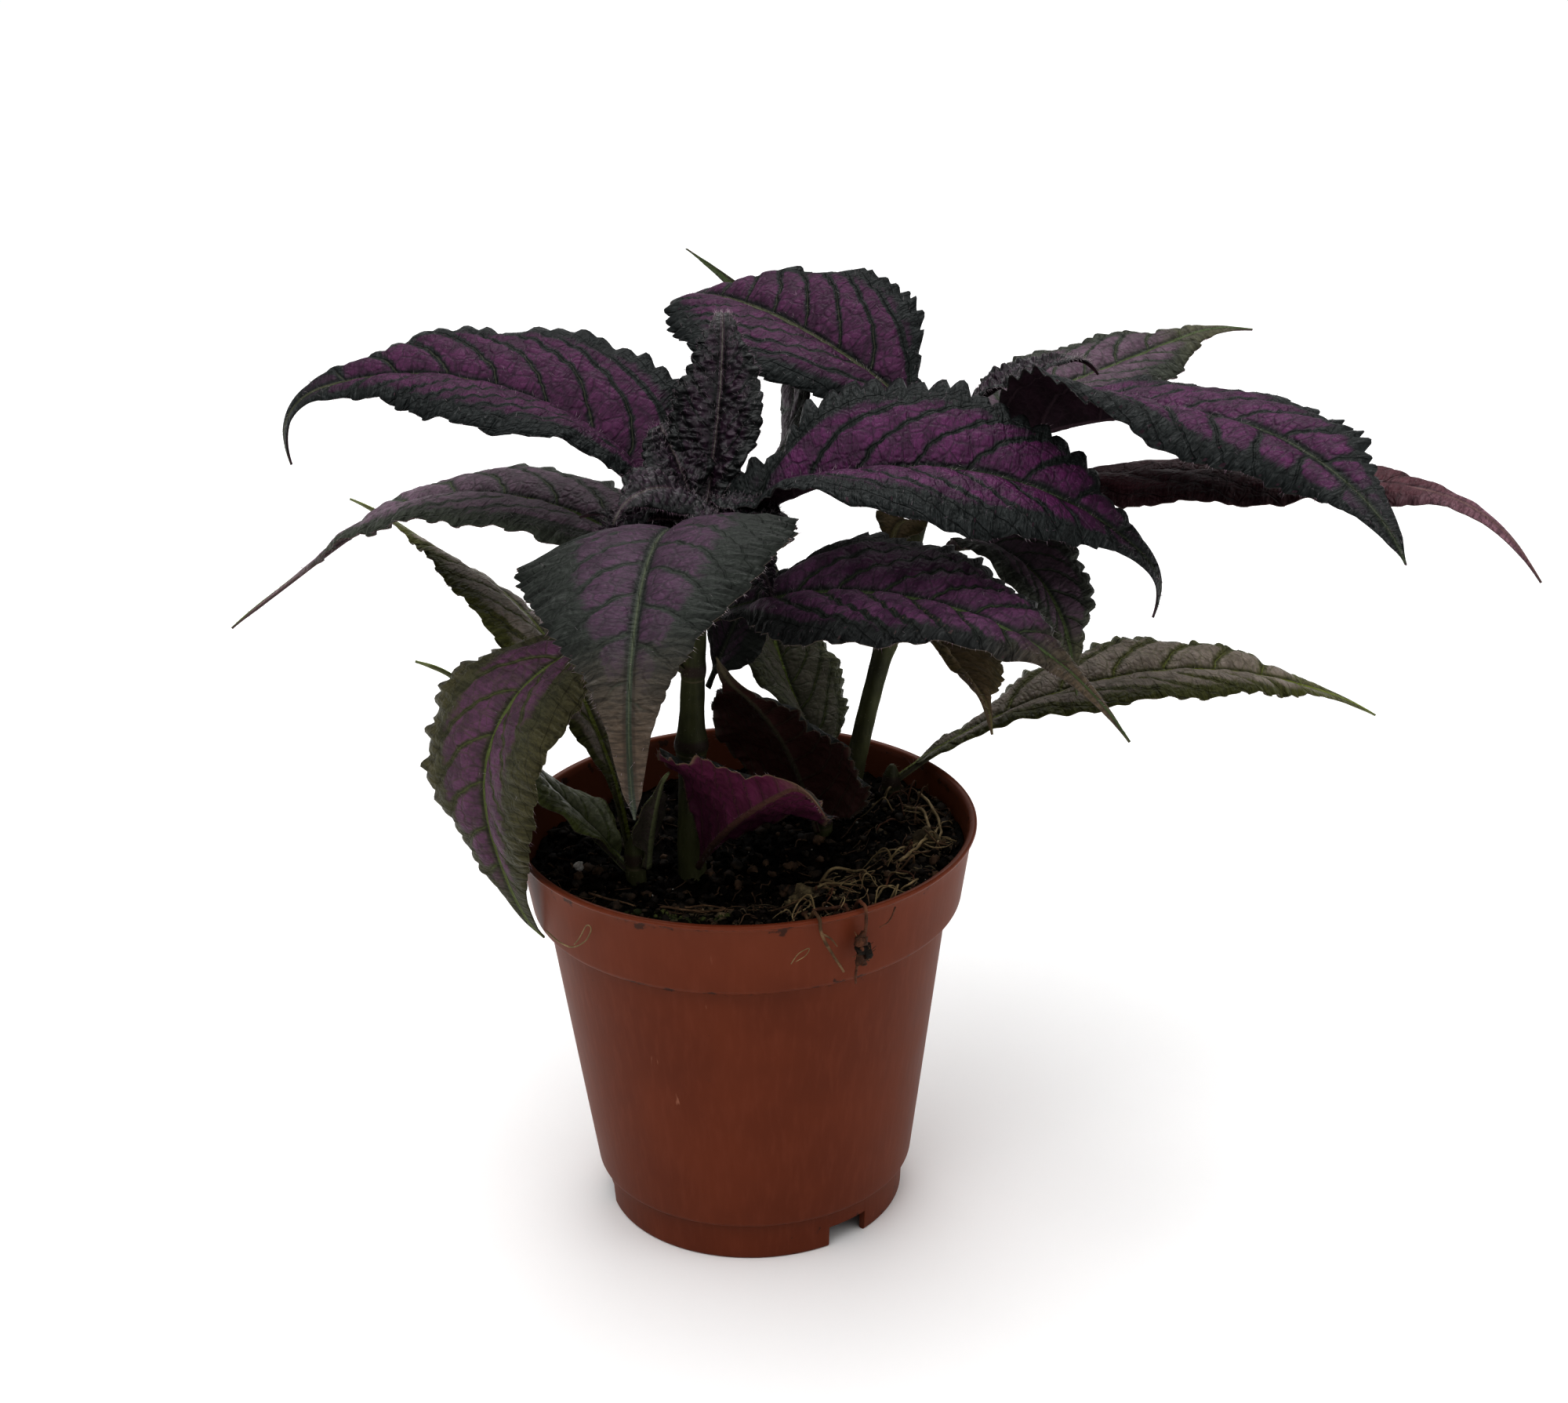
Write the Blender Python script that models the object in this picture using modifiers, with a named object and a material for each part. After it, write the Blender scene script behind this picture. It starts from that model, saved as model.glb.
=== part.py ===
"""Persian shield plant in a terracotta-coloured plastic nursery pot.

Metres, +Z up, the pot stands on z = 0. Sizes below are in millimetres and are
measured from the pot's own axis; an empty at the end carries everything to the
place where the middle of the plant's spread stands over the world origin.
"""

import math

import bmesh
import bpy
import numpy as np
from mathutils import Matrix, Vector, noise
from mathutils.bvhtree import BVHTree

MM = 0.001
CLEARANCE = 0.3  # free gap between two solids that rest on each other

# Where the pot's axis stands, so that the whole spread is centred on the origin.
POT_AXIS = (-30.3, -8.0)

# Pot: a 12 cm nursery pot with a wide collar, a stepped-in foot ring and a raised floor.
POT_SEGMENTS = 60
POT_OUTSIDE = [
    (58.8, 108.5), (59.6, 108.5), (60.0, 108.1), (60.0, 107.5), (58.9, 106.8),
    (55.9, 88.3), (55.2, 87.3), (53.0, 87.0), (52.3, 86.2),
    (42.2, 12.2), (41.8, 11.4), (40.1, 11.0), (39.4, 0.5), (39.0, 0.0),
]
POT_INSIDE = [
    (37.6, 0.0), (38.1, 9.6), (37.4, 10.4), (0.0, 10.4),
    (0.0, 11.8), (39.9, 11.8), (40.9, 12.7), (50.9, 86.6), (51.4, 87.8),
    (54.0, 88.5), (54.6, 89.4), (57.5, 106.9), (58.1, 108.2),
]
NOTCH_ANGLES = (-53.0, 67.0, 187.0)  # three gaps in the foot ring
NOTCH_WIDTH, NOTCH_HEIGHT = 12.0, 6.0
DRAIN_HOLES, DRAIN_RADIUS, DRAIN_CIRCLE = 5, 4.0, 27.0

# Soil: a plug that follows the pot's inner wall; its lumpy top is heaped toward the front right rim.
SOIL_TOP, SOIL_HEAP, SOIL_HEAP_AT, SOIL_LUMP = 95.5, 8.5, -50.0, 1.4
SOIL_RINGS, SOIL_SEGMENTS = 11, 44
SOIL_WALL = [(39.4, 12.2), (40.4, 12.9), (50.4, 86.4), (51.0, 88.4), (53.9, 89.2)]
SOIL_SEED = Vector((3.1, 7.7, 1.3))

# Stems: (x, y, z, radius) from the foot in the soil up to the crown.
STEM_FOOT = 76.0
STEMS = {
    "stem_left": [
        (-14, -4, STEM_FOOT, 3.4), (-14, -4, 101, 3.7), (-13.8, -3.8, 112, 3.4), (-13.4, -3.4, 124, 3.3),
        (-13.2, -3.1, 130, 4.1), (-13.0, -3.0, 134, 3.9), (-12.7, -2.8, 140, 3.2), (-11.4, -1.6, 160, 3.0),
        (-10.2, -0.8, 176, 2.8), (-9.2, -0.1, 189, 2.6), (-9.0, 0.0, 194, 1.9), (-8.9, 0.1, 197, 0.6),
    ],
    "stem_right": [
        (28, 24.2, STEM_FOOT, 2.7), (28, 24.2, 101, 2.9), (31.6, 24.9, 120, 2.6), (36.4, 25.9, 139, 2.6),
        (38.8, 26.4, 147, 3.2), (40.2, 26.8, 152, 2.8), (46.0, 28.2, 174, 2.4), (50.6, 29.3, 190, 2.4),
        (54.4, 29.9, 203, 2.2), (55.8, 30.0, 208, 1.5), (56.4, 30.0, 210, 0.5),
    ],
    "stem_low_right": [
        (39.5, 29.8, 88, 2.1), (39.5, 29.8, 102, 2.4), (39.8, 30.0, 107, 1.8), (39.9, 30.1, 109, 0.6),
    ],
    "stem_low_left": [
        (-28.5, -10, STEM_FOOT, 2.3), (-28.5, -10, 101, 2.7), (-28.5, -9.9, 107, 2.2), (-28.6, -9.8, 110, 0.7),
    ],
    "stem_low_middle": [(21, 18, STEM_FOOT, 1.9), (21, 18, 99, 2.2), (20.9, 18, 102, 1.7), (20.8, 18, 104, 0.6)],
}
STEM_SIDES = 10

# Leaf thickness: stout petiole and midrib, thinner blade, thinnest at the margin.
KEEL_FOOT, KEEL_TIP, BLADE, MARGIN = 2.0, 1.0, 0.85, 0.7
STRIP_LENGTH = 8.5  # blade length for one tooth on each side
TOOTH, WAVE, WAVE_COUNT = 1.3, 1.0, 5.0
ARCH = 40.0  # how far each half blade bends down from midrib to margin, in degrees
HALF_WIDTH = [
    (0.00, 0.05), (0.05, 0.07), (0.10, 0.16), (0.16, 0.40), (0.24, 0.74), (0.33, 0.95), (0.42, 1.00),
    (0.52, 0.93), (0.62, 0.74), (0.71, 0.50), (0.79, 0.28), (0.86, 0.145), (0.93, 0.075), (1.00, 0.03),
]

# Leaves. height is where the leaf leaves its stem; heading is its compass turn on leaving (0 = +X,
# 90 = +Y) and sweep the turn added along it; rise is its climb on leaving, droop the fall added
# along it, curl the extra fall past curl_at; roll and twist lift its right-hand side; fold is how
# steeply the halves rise beside the midrib and cup the extra fold near the petiole; a low value of
# early brings the widest place nearer the petiole.
LEAF_FIELDS = ("stem", "height", "heading", "sweep", "rise", "droop", "curl", "length", "width",
               "roll", "twist", "fold", "cup", "early", "curl_at")
WINGED = {  # blades that run down the petiole: the least share of full width near the foot
    "leaf_left_upper": 0.33, "leaf_right_upper": 0.42, "leaf_front": 0.30, "leaf_crown_upright": 0.42,
    "leaf_crown_young": 0.40, "leaf_right_middle": 0.22, "leaf_top": 0.25, "leaf_right_high": 0.24,
    "leaf_right_low": 0.27,
}
LEAVES = {
    "leaf_left_upper": ("stem_left", 185, 147, 41, 56, 88, 71, 132, 71, -3, 17, 25, 29, 0.87, 0.79),
    "leaf_right_upper": ("stem_left", 185, -11, 14, 44, 105, 47, 136, 63, -6, -23, 25, 36, 0.99, 0.86),
    "leaf_front": ("stem_left", 185, -101, 10, 38, 85, 78, 150, 66, -8, -2, 17, -4, 0.88, 0.70),
    "leaf_left_middle": ("stem_left", 172, 142, 30, 36, 102, -24, 153, 51, -4, 4, 20, 1, 0.86, 0.69),
    "leaf_right_middle": ("stem_left", 166, -28, -9, 29, 61, 15, 125, 59, -21, 38, 20, 7, 0.97, 0.55),
    "leaf_crown_upright": ("stem_left", 191, 67, 28, 63, 22, 107, 66, 25, 6, -1, 25, 11, 0.84, 0.69),
    "leaf_crown_young": ("stem_left", 194, -116, -20, 60, 90, 26, 38, 21, 20, 4, 8, 33, 1.0, 0.70),
    "leaf_crown_left": ("stem_left", 178.5, 152, 24, 52, 50, 30, 31, 16, 0, 0, 22, 30, 0.85, 0.70),
    "leaf_back_tall": ("stem_left", 180, 48, 87, 25, 21, -14, 154, 23, 59, 23, 18, -14, 0.89, 0.67),
    "leaf_under_front": ("stem_left", 149, 10, 30, 66, 10, -8, 36, 24, -11, -11, 16, -5, 0.88, 0.69),
    "leaf_over_rim": ("stem_left", 154, 201, 27, 44, 222, -47, 124, 58, -12, 20, 25, -12, 1.04, 0.58),
    "leaf_magenta_back": ("stem_left", 100, -68, 22, 48, 18, 73, 72, 53, 36, 2, 37, 40, 0.92, 0.78),
    "leaf_top": ("stem_right", 203, 151, -46, 38, 68, 94, 122, 63, 13, -7, 23, 13, 0.88, 0.88),
    "leaf_right_back": ("stem_right", 204, 54, -40, -7, -26, 28, 108, 47, 3, -8, 20, 2, 1.22, 0.76),
    "leaf_right_high": ("stem_right", 190, -6, -85, 34, 64, -18, 164, 58, 38, -74, 15, 52, 0.86, 0.62),
    "leaf_right_far": ("stem_right", 186, -4, -28, 10, 16, 47, 161, 50, 13, -14, 15, -11, 1.05, 0.71),
    "leaf_right_hanging": ("stem_right", 168, -29, -28, 44, 146, -31, 70, 34, 9, -8, 34, 2, 1.14, 0.83),
    "leaf_right_tip": ("stem_right", 161, -76, 9, -14, -11, 64, 62, 38, 24, 20, 30, 2, 1.06, 0.73),
    "leaf_right_young": ("stem_right", 208, 6, 0, 36, 34, 60, 40, 15, 0, 0, 25, 20, 0.95, 0.70),
    "leaf_right_dry": ("stem_right", 179, 238, 30, 30, 60, 60, 24, 14, 0, 30, 30, 20, 0.90, 0.60),
    "leaf_olive_back": ("stem_right", 104, 137, -55, 48, 4, 20, 84, 38, -22, -9, 32, 15, 0.95, 0.70),
    "leaf_right_low": ("stem_low_right", 106.1, 8, 21, 34.9, 79, -9, 156, 42, 15, -34, 24, -2, 1.04, 0.62),
    "leaf_left_long": ("stem_low_left", 106, 116, 20, 69, 109, -42, 152, 36, -22, -24, 3, 22, 1.07, 0.50),
    "leaf_left_low": ("stem_low_left", 101, 149, 39, 38, -27, 44, 76, 32, -13, -21, 2, 40, 0.68, 0.73),
    "leaf_low_green": ("stem_low_left", 104, -40, 10, 82, 12, 20, 28, 14, 0, 0, 25, 10, 0.95, 0.70),
    "leaf_maroon_back": ("stem_low_middle", 99, -129, 11, 74, 45, -30, 80, 52, 8, -6, 22, -10, 0.76, 0.76),
}
PLANT_GREEN, PLANT_PURPLE, PLANT_MAROON = (0.055, 0.065, 0.03), (0.075, 0.02, 0.07), (0.05, 0.015, 0.018)


def clear_scene():
    for item in list(bpy.data.objects):
        bpy.data.objects.remove(item)


def collection(name):
    found = bpy.data.collections.new(name)
    bpy.context.scene.collection.children.link(found)
    return found


def material(name, colour, roughness=0.6):
    made = bpy.data.materials.new(name)
    made.use_nodes = True
    shader = made.node_tree.nodes["Principled BSDF"]
    shader.inputs["Base Color"].default_value = (*colour, 1.0)
    shader.inputs["Roughness"].default_value = roughness
    shader.inputs["Metallic"].default_value = 0.0
    made.diffuse_color = (*colour, 1.0)
    return made


def place(name, data, group, finish=None):
    item = bpy.data.objects.new(name, data)
    if finish:
        data.materials.append(finish)
    group.objects.link(item)
    return item


def mesh_from(name, points_mm, faces, edges=()):
    data = bpy.data.meshes.new(name)
    data.from_pydata([Vector(p) * MM for p in points_mm], edges, faces)
    data.update()
    return data


def helper(name, data):
    """A cutter: kept out of the render and of the part."""
    item = place(name, data, CUTTERS)
    item.hide_render = True
    item.display_type = "WIRE"
    return item


def subtract(item, cutter):
    cut = item.modifiers.new("cut_" + cutter.name, "BOOLEAN")
    cut.operation = "DIFFERENCE"
    cut.object = cutter
    cut.solver = "EXACT"


def rod(radius, low, high, sides, x=0.0, y=0.0):
    """An upright round bar, as mesh data."""
    shape = bmesh.new()
    bmesh.ops.create_cone(shape, cap_ends=True, segments=sides, radius1=radius * MM, radius2=radius * MM,
                          depth=(high - low) * MM,
                          matrix=Matrix.Translation(Vector((x, y, (low + high) / 2)) * MM))
    data = bpy.data.meshes.new("rod")
    shape.to_mesh(data)
    shape.free()
    return data


def make_pot():
    """The wall, floor and foot ring are one turned profile; notches and drain holes are cut."""
    profile = POT_OUTSIDE + POT_INSIDE
    data = mesh_from("pot", [(r, 0, z) for r, z in profile], [],
                     [(i, (i + 1) % len(profile)) for i in range(len(profile))])
    pot = place("pot", data, PARTS, material("terracotta_plastic", (0.22, 0.065, 0.032), 0.45))
    turn = pot.modifiers.new("turn", "SCREW")
    turn.steps = turn.render_steps = POT_SEGMENTS
    turn.use_merge_vertices = True
    turn.merge_threshold = 0.00005
    turn.use_normal_calculate = True
    for number, angle in enumerate(NOTCH_ANGLES):
        block = bmesh.new()
        bmesh.ops.create_cube(block, size=1.0)
        bmesh.ops.scale(block, verts=block.verts, vec=Vector((9, NOTCH_WIDTH, 2 * NOTCH_HEIGHT)) * MM)
        bmesh.ops.translate(block, verts=block.verts, vec=Vector((38.8, 0, 0)) * MM)
        bmesh.ops.rotate(block, verts=block.verts, matrix=Matrix.Rotation(math.radians(angle), 3, "Z"))
        cutter = bpy.data.meshes.new("notch")
        block.to_mesh(cutter)
        block.free()
        subtract(pot, helper(f"notch_cutter_{number + 1}", cutter))
    for number in range(DRAIN_HOLES):
        turn_to = 2 * math.pi * (number + 0.5) / DRAIN_HOLES
        hole = rod(DRAIN_RADIUS, 8, 14, 16, DRAIN_CIRCLE * math.cos(turn_to), DRAIN_CIRCLE * math.sin(turn_to))
        subtract(pot, helper(f"drain_cutter_{number + 1}", hole))


def soil_height(x, y):
    """Height of the soil's top: heaped toward the front right rim, with two sizes of lump."""
    facing = 0.5 + 0.5 * math.cos(math.atan2(y, x) - math.radians(SOIL_HEAP_AT))
    heap = SOIL_HEAP * facing ** 0.7 * float(ease((math.hypot(x, y) - 20) / 28))
    coarse = noise.noise(Vector((x, y, 0)) * 0.07 + SOIL_SEED)
    fine = noise.noise(Vector((x, y, 0)) * 0.23 + SOIL_SEED)
    return SOIL_TOP + heap + SOIL_LUMP * (1.2 * coarse + 0.8 * fine)


def soil_reach(turn):
    """How far out the soil's top goes before it would touch the pot's inner wall."""
    height = soil_height(55 * math.cos(turn), 55 * math.sin(turn))
    (r0, z0), (r1, z1) = POT_INSIDE[-3], POT_INSIDE[-2]
    return r0 + (r1 - r0) * (height - z0) / (z1 - z0) - CLEARANCE - 0.15


def make_soil():
    """A closed plug built ring by ring: lumpy top, wall that follows the pot, flat underside."""
    points, faces = [(0, 0, soil_height(0, 0))], []
    turns = [2 * math.pi * k / SOIL_SEGMENTS for k in range(SOIL_SEGMENTS)]
    for ring in range(1, SOIL_RINGS + 1):
        for turn in turns:
            radius = soil_reach(turn) * (ring / SOIL_RINGS) ** 0.85
            x, y = radius * math.cos(turn), radius * math.sin(turn)
            points.append((x, y, soil_height(x, y)))
    for radius, height in reversed(SOIL_WALL):
        points += [(radius * math.cos(a), radius * math.sin(a), height) for a in turns]
    bands = SOIL_RINGS + len(SOIL_WALL)
    for k in range(SOIL_SEGMENTS):
        following = (k + 1) % SOIL_SEGMENTS
        faces.append((0, 1 + k, 1 + following))
        for band in range(bands - 1):
            a, b = 1 + band * SOIL_SEGMENTS, 1 + (band + 1) * SOIL_SEGMENTS
            faces.append((a + k, b + k, b + following))
            faces.append((a + k, b + following, a + following))
    faces.append([1 + (bands - 1) * SOIL_SEGMENTS + k for k in reversed(range(SOIL_SEGMENTS))])
    soil = place("soil", mesh_from("soil", points, faces), PARTS, material("dark_peat", (0.02, 0.015, 0.011), 0.95))
    for name, path in STEMS.items():
        x, y, foot, radius = path[0]
        widest = max(point[3] for point in path[:2])
        subtract(soil, helper(name + "_hole", rod(widest + CLEARANCE + 0.1, foot - CLEARANCE, 112, 16, x, y)))
    return soil


def tube(name, path, sides, group, finish=None):
    """A bevelled curve through (x, y, z, radius) points, with its ends closed."""
    curve = bpy.data.curves.new(name, "CURVE")
    curve.dimensions = "3D"
    curve.bevel_depth = MM
    curve.bevel_resolution = max(0, sides // 2 - 2)
    curve.use_fill_caps = True
    line = curve.splines.new("POLY")
    line.points.add(len(path) - 1)
    for point, (x, y, z, radius) in zip(line.points, path):
        point.co = (x * MM, y * MM, z * MM, 1)
        point.radius = radius
    return place(name, curve, group, finish)


def on_stem(stem, height):
    path = np.array(STEMS[stem], float)
    return [np.interp(height, path[:, 2], path[:, i]) for i in (0, 1, 3)]


def ease(value):
    value = np.clip(value, 0, 1)
    return value * value * (3 - 2 * value)


def leaf_frames(leaf, steps):
    """Midrib points with the leaf's sideways and upward directions, from petiole foot to tip."""
    def angles(t):
        climb = leaf["rise"] - leaf["droop"] * t - leaf["curl"] * ease((t - leaf["curl_at"]) / (1 - leaf["curl_at"]))
        return np.radians(climb), np.radians(leaf["heading"] + leaf["sweep"] * t)

    def along(climb, turn):
        return np.stack([np.cos(climb) * np.cos(turn), np.cos(climb) * np.sin(turn), np.sin(climb)], -1)

    x, y, radius = on_stem(leaf["stem"], leaf["height"])
    turn = math.radians(leaf["heading"])
    off = radius + CLEARANCE + 0.35 + KEEL_FOOT / 2 * abs(math.sin(math.radians(leaf["rise"])))
    foot = np.array([x + off * math.cos(turn), y + off * math.sin(turn), leaf["height"]])
    t = np.linspace(0, 1, steps + 1)
    path = np.vstack([np.zeros(3), np.cumsum(along(*angles((t[1:] + t[:-1]) / 2)), 0) * leaf["length"] / steps])
    climb, turn = angles(t)
    forward = along(climb, turn)
    side = np.stack([np.sin(turn), -np.cos(turn), 0 * turn], -1)
    up = np.cross(side, forward)
    lean = np.radians(leaf["roll"] + leaf["twist"] * t)[:, None]
    return (t, foot + path, side * np.cos(lean) + up * np.sin(lean), up * np.cos(lean) - side * np.sin(lean))


def make_leaf(name, finish):
    """One leaf: an open toothed sheet of triangles, thickened by how stout each point is."""
    leaf = dict(zip(LEAF_FIELDS, LEAVES[name]))
    strips = max(7, round(leaf["length"] / STRIP_LENGTH))
    t, path, side, up = leaf_frames(leaf, 2 * strips)
    shape = np.array(HALF_WIDTH)
    spread = np.interp(t ** leaf["early"], shape[:, 0], shape[:, 1])
    spread = np.maximum(spread, WINGED.get(name, 0) * ease((t + 0.01) / 0.10) * (t < 0.4))
    half = np.maximum(spread * leaf["width"] / 2, 0.6)
    fold = np.radians(leaf["fold"] + leaf["cup"] * (1 - ease(t / 0.55)))
    bend = math.radians(ARCH)
    scale = min(1.0, leaf["width"] / 45)
    points, stout, index = [], [], {}

    def add(key, row, sign, u, out=0.0, lift=0.0, thickness=BLADE):
        slope = fold[row] - bend * u
        across = half[row] * (math.sin(fold[row]) - math.sin(slope)) / bend + out * math.cos(slope)
        above = half[row] * (math.cos(slope) - math.cos(fold[row])) / bend + out * math.sin(slope) + lift
        index[key] = len(points)
        points.append(path[row] + sign * across * side[row] + above * up[row])
        stout.append(max(thickness, 1.7 - half[row] * 0.22) / KEEL_FOOT)

    for row in range(2 * strips + 1):
        grown = ease((spread[row] - 0.1) * 3)
        tooth = TOOTH * scale * grown * (row % 2)
        if row % 2 == 0:
            add(("m", row), row, 1, 0, thickness=KEEL_FOOT + (KEEL_TIP - KEEL_FOOT) * t[row])
        for label, sign in (("l", -1), ("r", 1)):
            wave = WAVE * scale * grown * math.sin(2 * math.pi * WAVE_COUNT * t[row] + sign * 0.9)
            add((label + "e", row), row, sign, 1, tooth, wave, MARGIN)
            if row % 2 == 0:
                add((label + "h", row), row, sign, 0.5)
    faces = []
    for row in range(0, 2 * strips, 2):
        for label, flip in (("l", True), ("r", False)):
            edge, mid, rib = label + "e", label + "h", "m"
            patch = [
                [(mid, row), (edge, row), (edge, row + 1)],
                [(mid, row), (edge, row + 1), (mid, row + 2)],
                [(edge, row + 1), (edge, row + 2), (mid, row + 2)],
                [(rib, row), (mid, row), (mid, row + 2)],
                [(rib, row), (mid, row + 2), (rib, row + 2)],
            ]
            faces += [[index[key] for key in (corners[::-1] if flip else corners)] for corners in patch]
    item = place(name, mesh_from(name, points, faces), PARTS, finish)
    weights = item.vertex_groups.new(name="thickness")
    for number, value in enumerate(stout):
        weights.add([number], min(1.0, value), "REPLACE")
    thick = item.modifiers.new("thickness", "SOLIDIFY")
    thick.thickness = KEEL_FOOT * MM
    thick.offset = 0.0
    thick.use_rim = True
    thick.use_quality_normals = True
    thick.vertex_group = weights.name
    return item


def fuse(name, pieces, finish):
    """Joins tubes and crumbs into one closed mesh and removes the loose ones."""
    loose = bpy.data.collections.new(name + "_loose")
    bpy.context.scene.collection.children.link(loose)
    bpy.context.view_layer.update()
    graph = bpy.context.evaluated_depsgraph_get()
    solids = []
    for piece in pieces:
        data = bpy.data.meshes.new_from_object(piece.evaluated_get(graph))
        shape = bmesh.new()
        shape.from_mesh(data)
        bmesh.ops.remove_doubles(shape, verts=shape.verts, dist=0.00001)
        bmesh.ops.recalc_face_normals(shape, faces=shape.faces)
        shape.to_mesh(data)
        shape.free()
        solids.append((data, piece.matrix_world.copy()))
        bpy.data.objects.remove(piece)
    first = place(name, solids[0][0], PARTS, finish)
    first.matrix_world = solids[0][1]
    for data, world in solids[1:]:
        more = bpy.data.objects.new(name + "_piece", data)
        more.matrix_world = world
        loose.objects.link(more)
    union = first.modifiers.new("union", "BOOLEAN")
    union.operation, union.solver = "UNION", "EXACT"
    union.operand_type, union.collection = "COLLECTION", loose
    bpy.context.view_layer.update()
    whole = bpy.data.meshes.new_from_object(first.evaluated_get(bpy.context.evaluated_depsgraph_get()))
    first.modifiers.clear()
    first.data = whole
    for item in list(loose.objects):
        bpy.data.objects.remove(item)
    bpy.data.collections.remove(loose)
    return first


def crumb(name, x, y, z, radius, squash=1.0):
    shape = bmesh.new()
    bmesh.ops.create_icosphere(shape, subdivisions=1, radius=radius * MM)
    bmesh.ops.scale(shape, verts=shape.verts, vec=(1, 1, squash))
    bmesh.ops.translate(shape, verts=shape.verts, vec=Vector((x, y, z)) * MM)
    data = bpy.data.meshes.new(name)
    shape.to_mesh(data)
    shape.free()
    return place(name, data, PARTS)


def ground(soil):
    """Returns a function that gives the true height of the soil mesh under a point."""
    bpy.context.view_layer.update()
    tree = BVHTree.FromObject(soil, bpy.context.evaluated_depsgraph_get())

    def height(x, y, spread=1.2):
        tops = []
        for dx, dy in ((0, 0), (spread, 0), (-spread, 0), (0, spread), (0, -spread)):
            hit = tree.ray_cast(Vector((x + dx, y + dy, 150)) * MM, Vector((0, 0, -1)))[0]
            tops.append(hit.z / MM if hit else SOIL_TOP)
        return max(tops)
    return height


def lying(route, radius, height, steps=3):
    """A root's path: route holds (x, y, lift above the soil), filled in so it follows the lumps."""
    path = []
    for (x0, y0, l0), (x1, y1, l1) in zip(route, route[1:]):
        for k in range(steps):
            s = k / steps
            x, y = x0 + (x1 - x0) * s, y0 + (y1 - y0) * s
            path.append((x, y, height(x, y) + radius + 0.35 + l0 + (l1 - l0) * s, radius))
    x, y, lift = route[-1]
    path.append((x, y, height(x, y) + radius + 0.35 + lift, radius * 0.7))
    return path


def make_roots(soil):
    height = ground(soil)
    pale = material("pale_root", (0.30, 0.22, 0.12), 0.8)
    front = [
        [(10, -35.6, 0.2), (16, -30, 0.8), (21, -27, 1.8), (29, -30, 0.3)],
        [(16.4, -20.8, 0.2), (21.6, -16, 2.2), (27, -19, 1.6), (31, -25.3, 0.2)],
        [(22, -38, 0.2), (20, -30, 1.4), (23, -23, 1.0), (19.5, -17.9, 1.2)],
    ]
    pieces = [tube(f"front_root_{k}", lying(route, 0.75, height), 6, PARTS) for k, route in enumerate(front)]
    pieces.append(crumb("front_crumb", 13.5, -33, height(13.5, -33) + 2.9, 3.0, 0.7))
    fuse("roots_front", pieces, pale)
    side = [
        [(46.5, 22, 0.6), (49.5, 12, 1.2), (51, 2, 0.8), (49, -8, 0.2)],
        [(42, 16, 0.1), (47, 9, 1.4), (47.5, -2, 0.8), (43, -10, 0.1)],
        [(39, -22.4, 0.2), (43, -15, 1.4), (47.5, -6, 1.2), (50.5, 3, 0.6)],
    ]
    pieces = [tube(f"side_root_{k}", lying(route, 0.75, height), 6, PARTS) for k, route in enumerate(side)]
    pieces.append(crumb("side_crumb", 47.3, -5, height(47.3, -5) + 2.7, 2.8, 0.7))
    fuse("roots_right", pieces, material("pale_root_right", (0.30, 0.22, 0.12), 0.8))

    def on_soil(angle, out, radius):
        x, y = out * math.cos(math.radians(angle)), out * math.sin(math.radians(angle))
        return x, y, height(x, y, 3.0) + radius + 0.35, radius

    def over_rim(angle, drop, lean, radius):
        path = [on_soil(angle, 50, radius)]
        low = max(path[0][2], on_soil(angle, 54, radius)[2])
        for r, z, drift in ((54.5, low + 0.8, 0), (57.3, 109.7, 0), (59.3, 110.3, 0.02), (61.0, 109.4, 0.05),
                            (61.4, 106.7, 0.12), (61.3, 108.7 - drop * 0.7, 0.6), (61.6, 108.7 - drop, 1.0)):
            here = math.radians(angle + lean * drift)
            path.append((r * math.cos(here), r * math.sin(here), z, radius))
        return path
    pieces = [tube("rim_root_1", over_rim(-74.0, 15.0, 6.5, 0.65), 6, PARTS),
              tube("rim_root_2", over_rim(-62.0, 19.0, -2.8, 0.65), 6, PARTS),
              tube("rim_link", [on_soil(angle, 50.5, 0.7) for angle in (-75, -71, -66, -61)], 6, PARTS)]
    scrap = math.radians(-63)
    pieces.append(crumb("rim_scrap", 61.9 * math.cos(scrap), 61.9 * math.sin(scrap), 99.0, 2.6, 1.5))
    fuse("roots_over_rim", pieces, material("brown_root", (0.12, 0.065, 0.04), 0.85))
    spot = (-43.5, -4.0)
    grain = crumb("perlite_grain", *spot, height(*spot) + 1.4, 1.1, 0.9)
    grain.data.materials.append(material("perlite", (0.75, 0.74, 0.70), 0.9))


def gather():
    """One empty carries every piece to its place in the world."""
    base = place("potted_persian_shield", None, PARTS)
    base.location = (POT_AXIS[0] * MM, POT_AXIS[1] * MM, 0)
    for item in list(PARTS.objects) + list(CUTTERS.objects):
        if item is not base:
            item.parent = base


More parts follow.
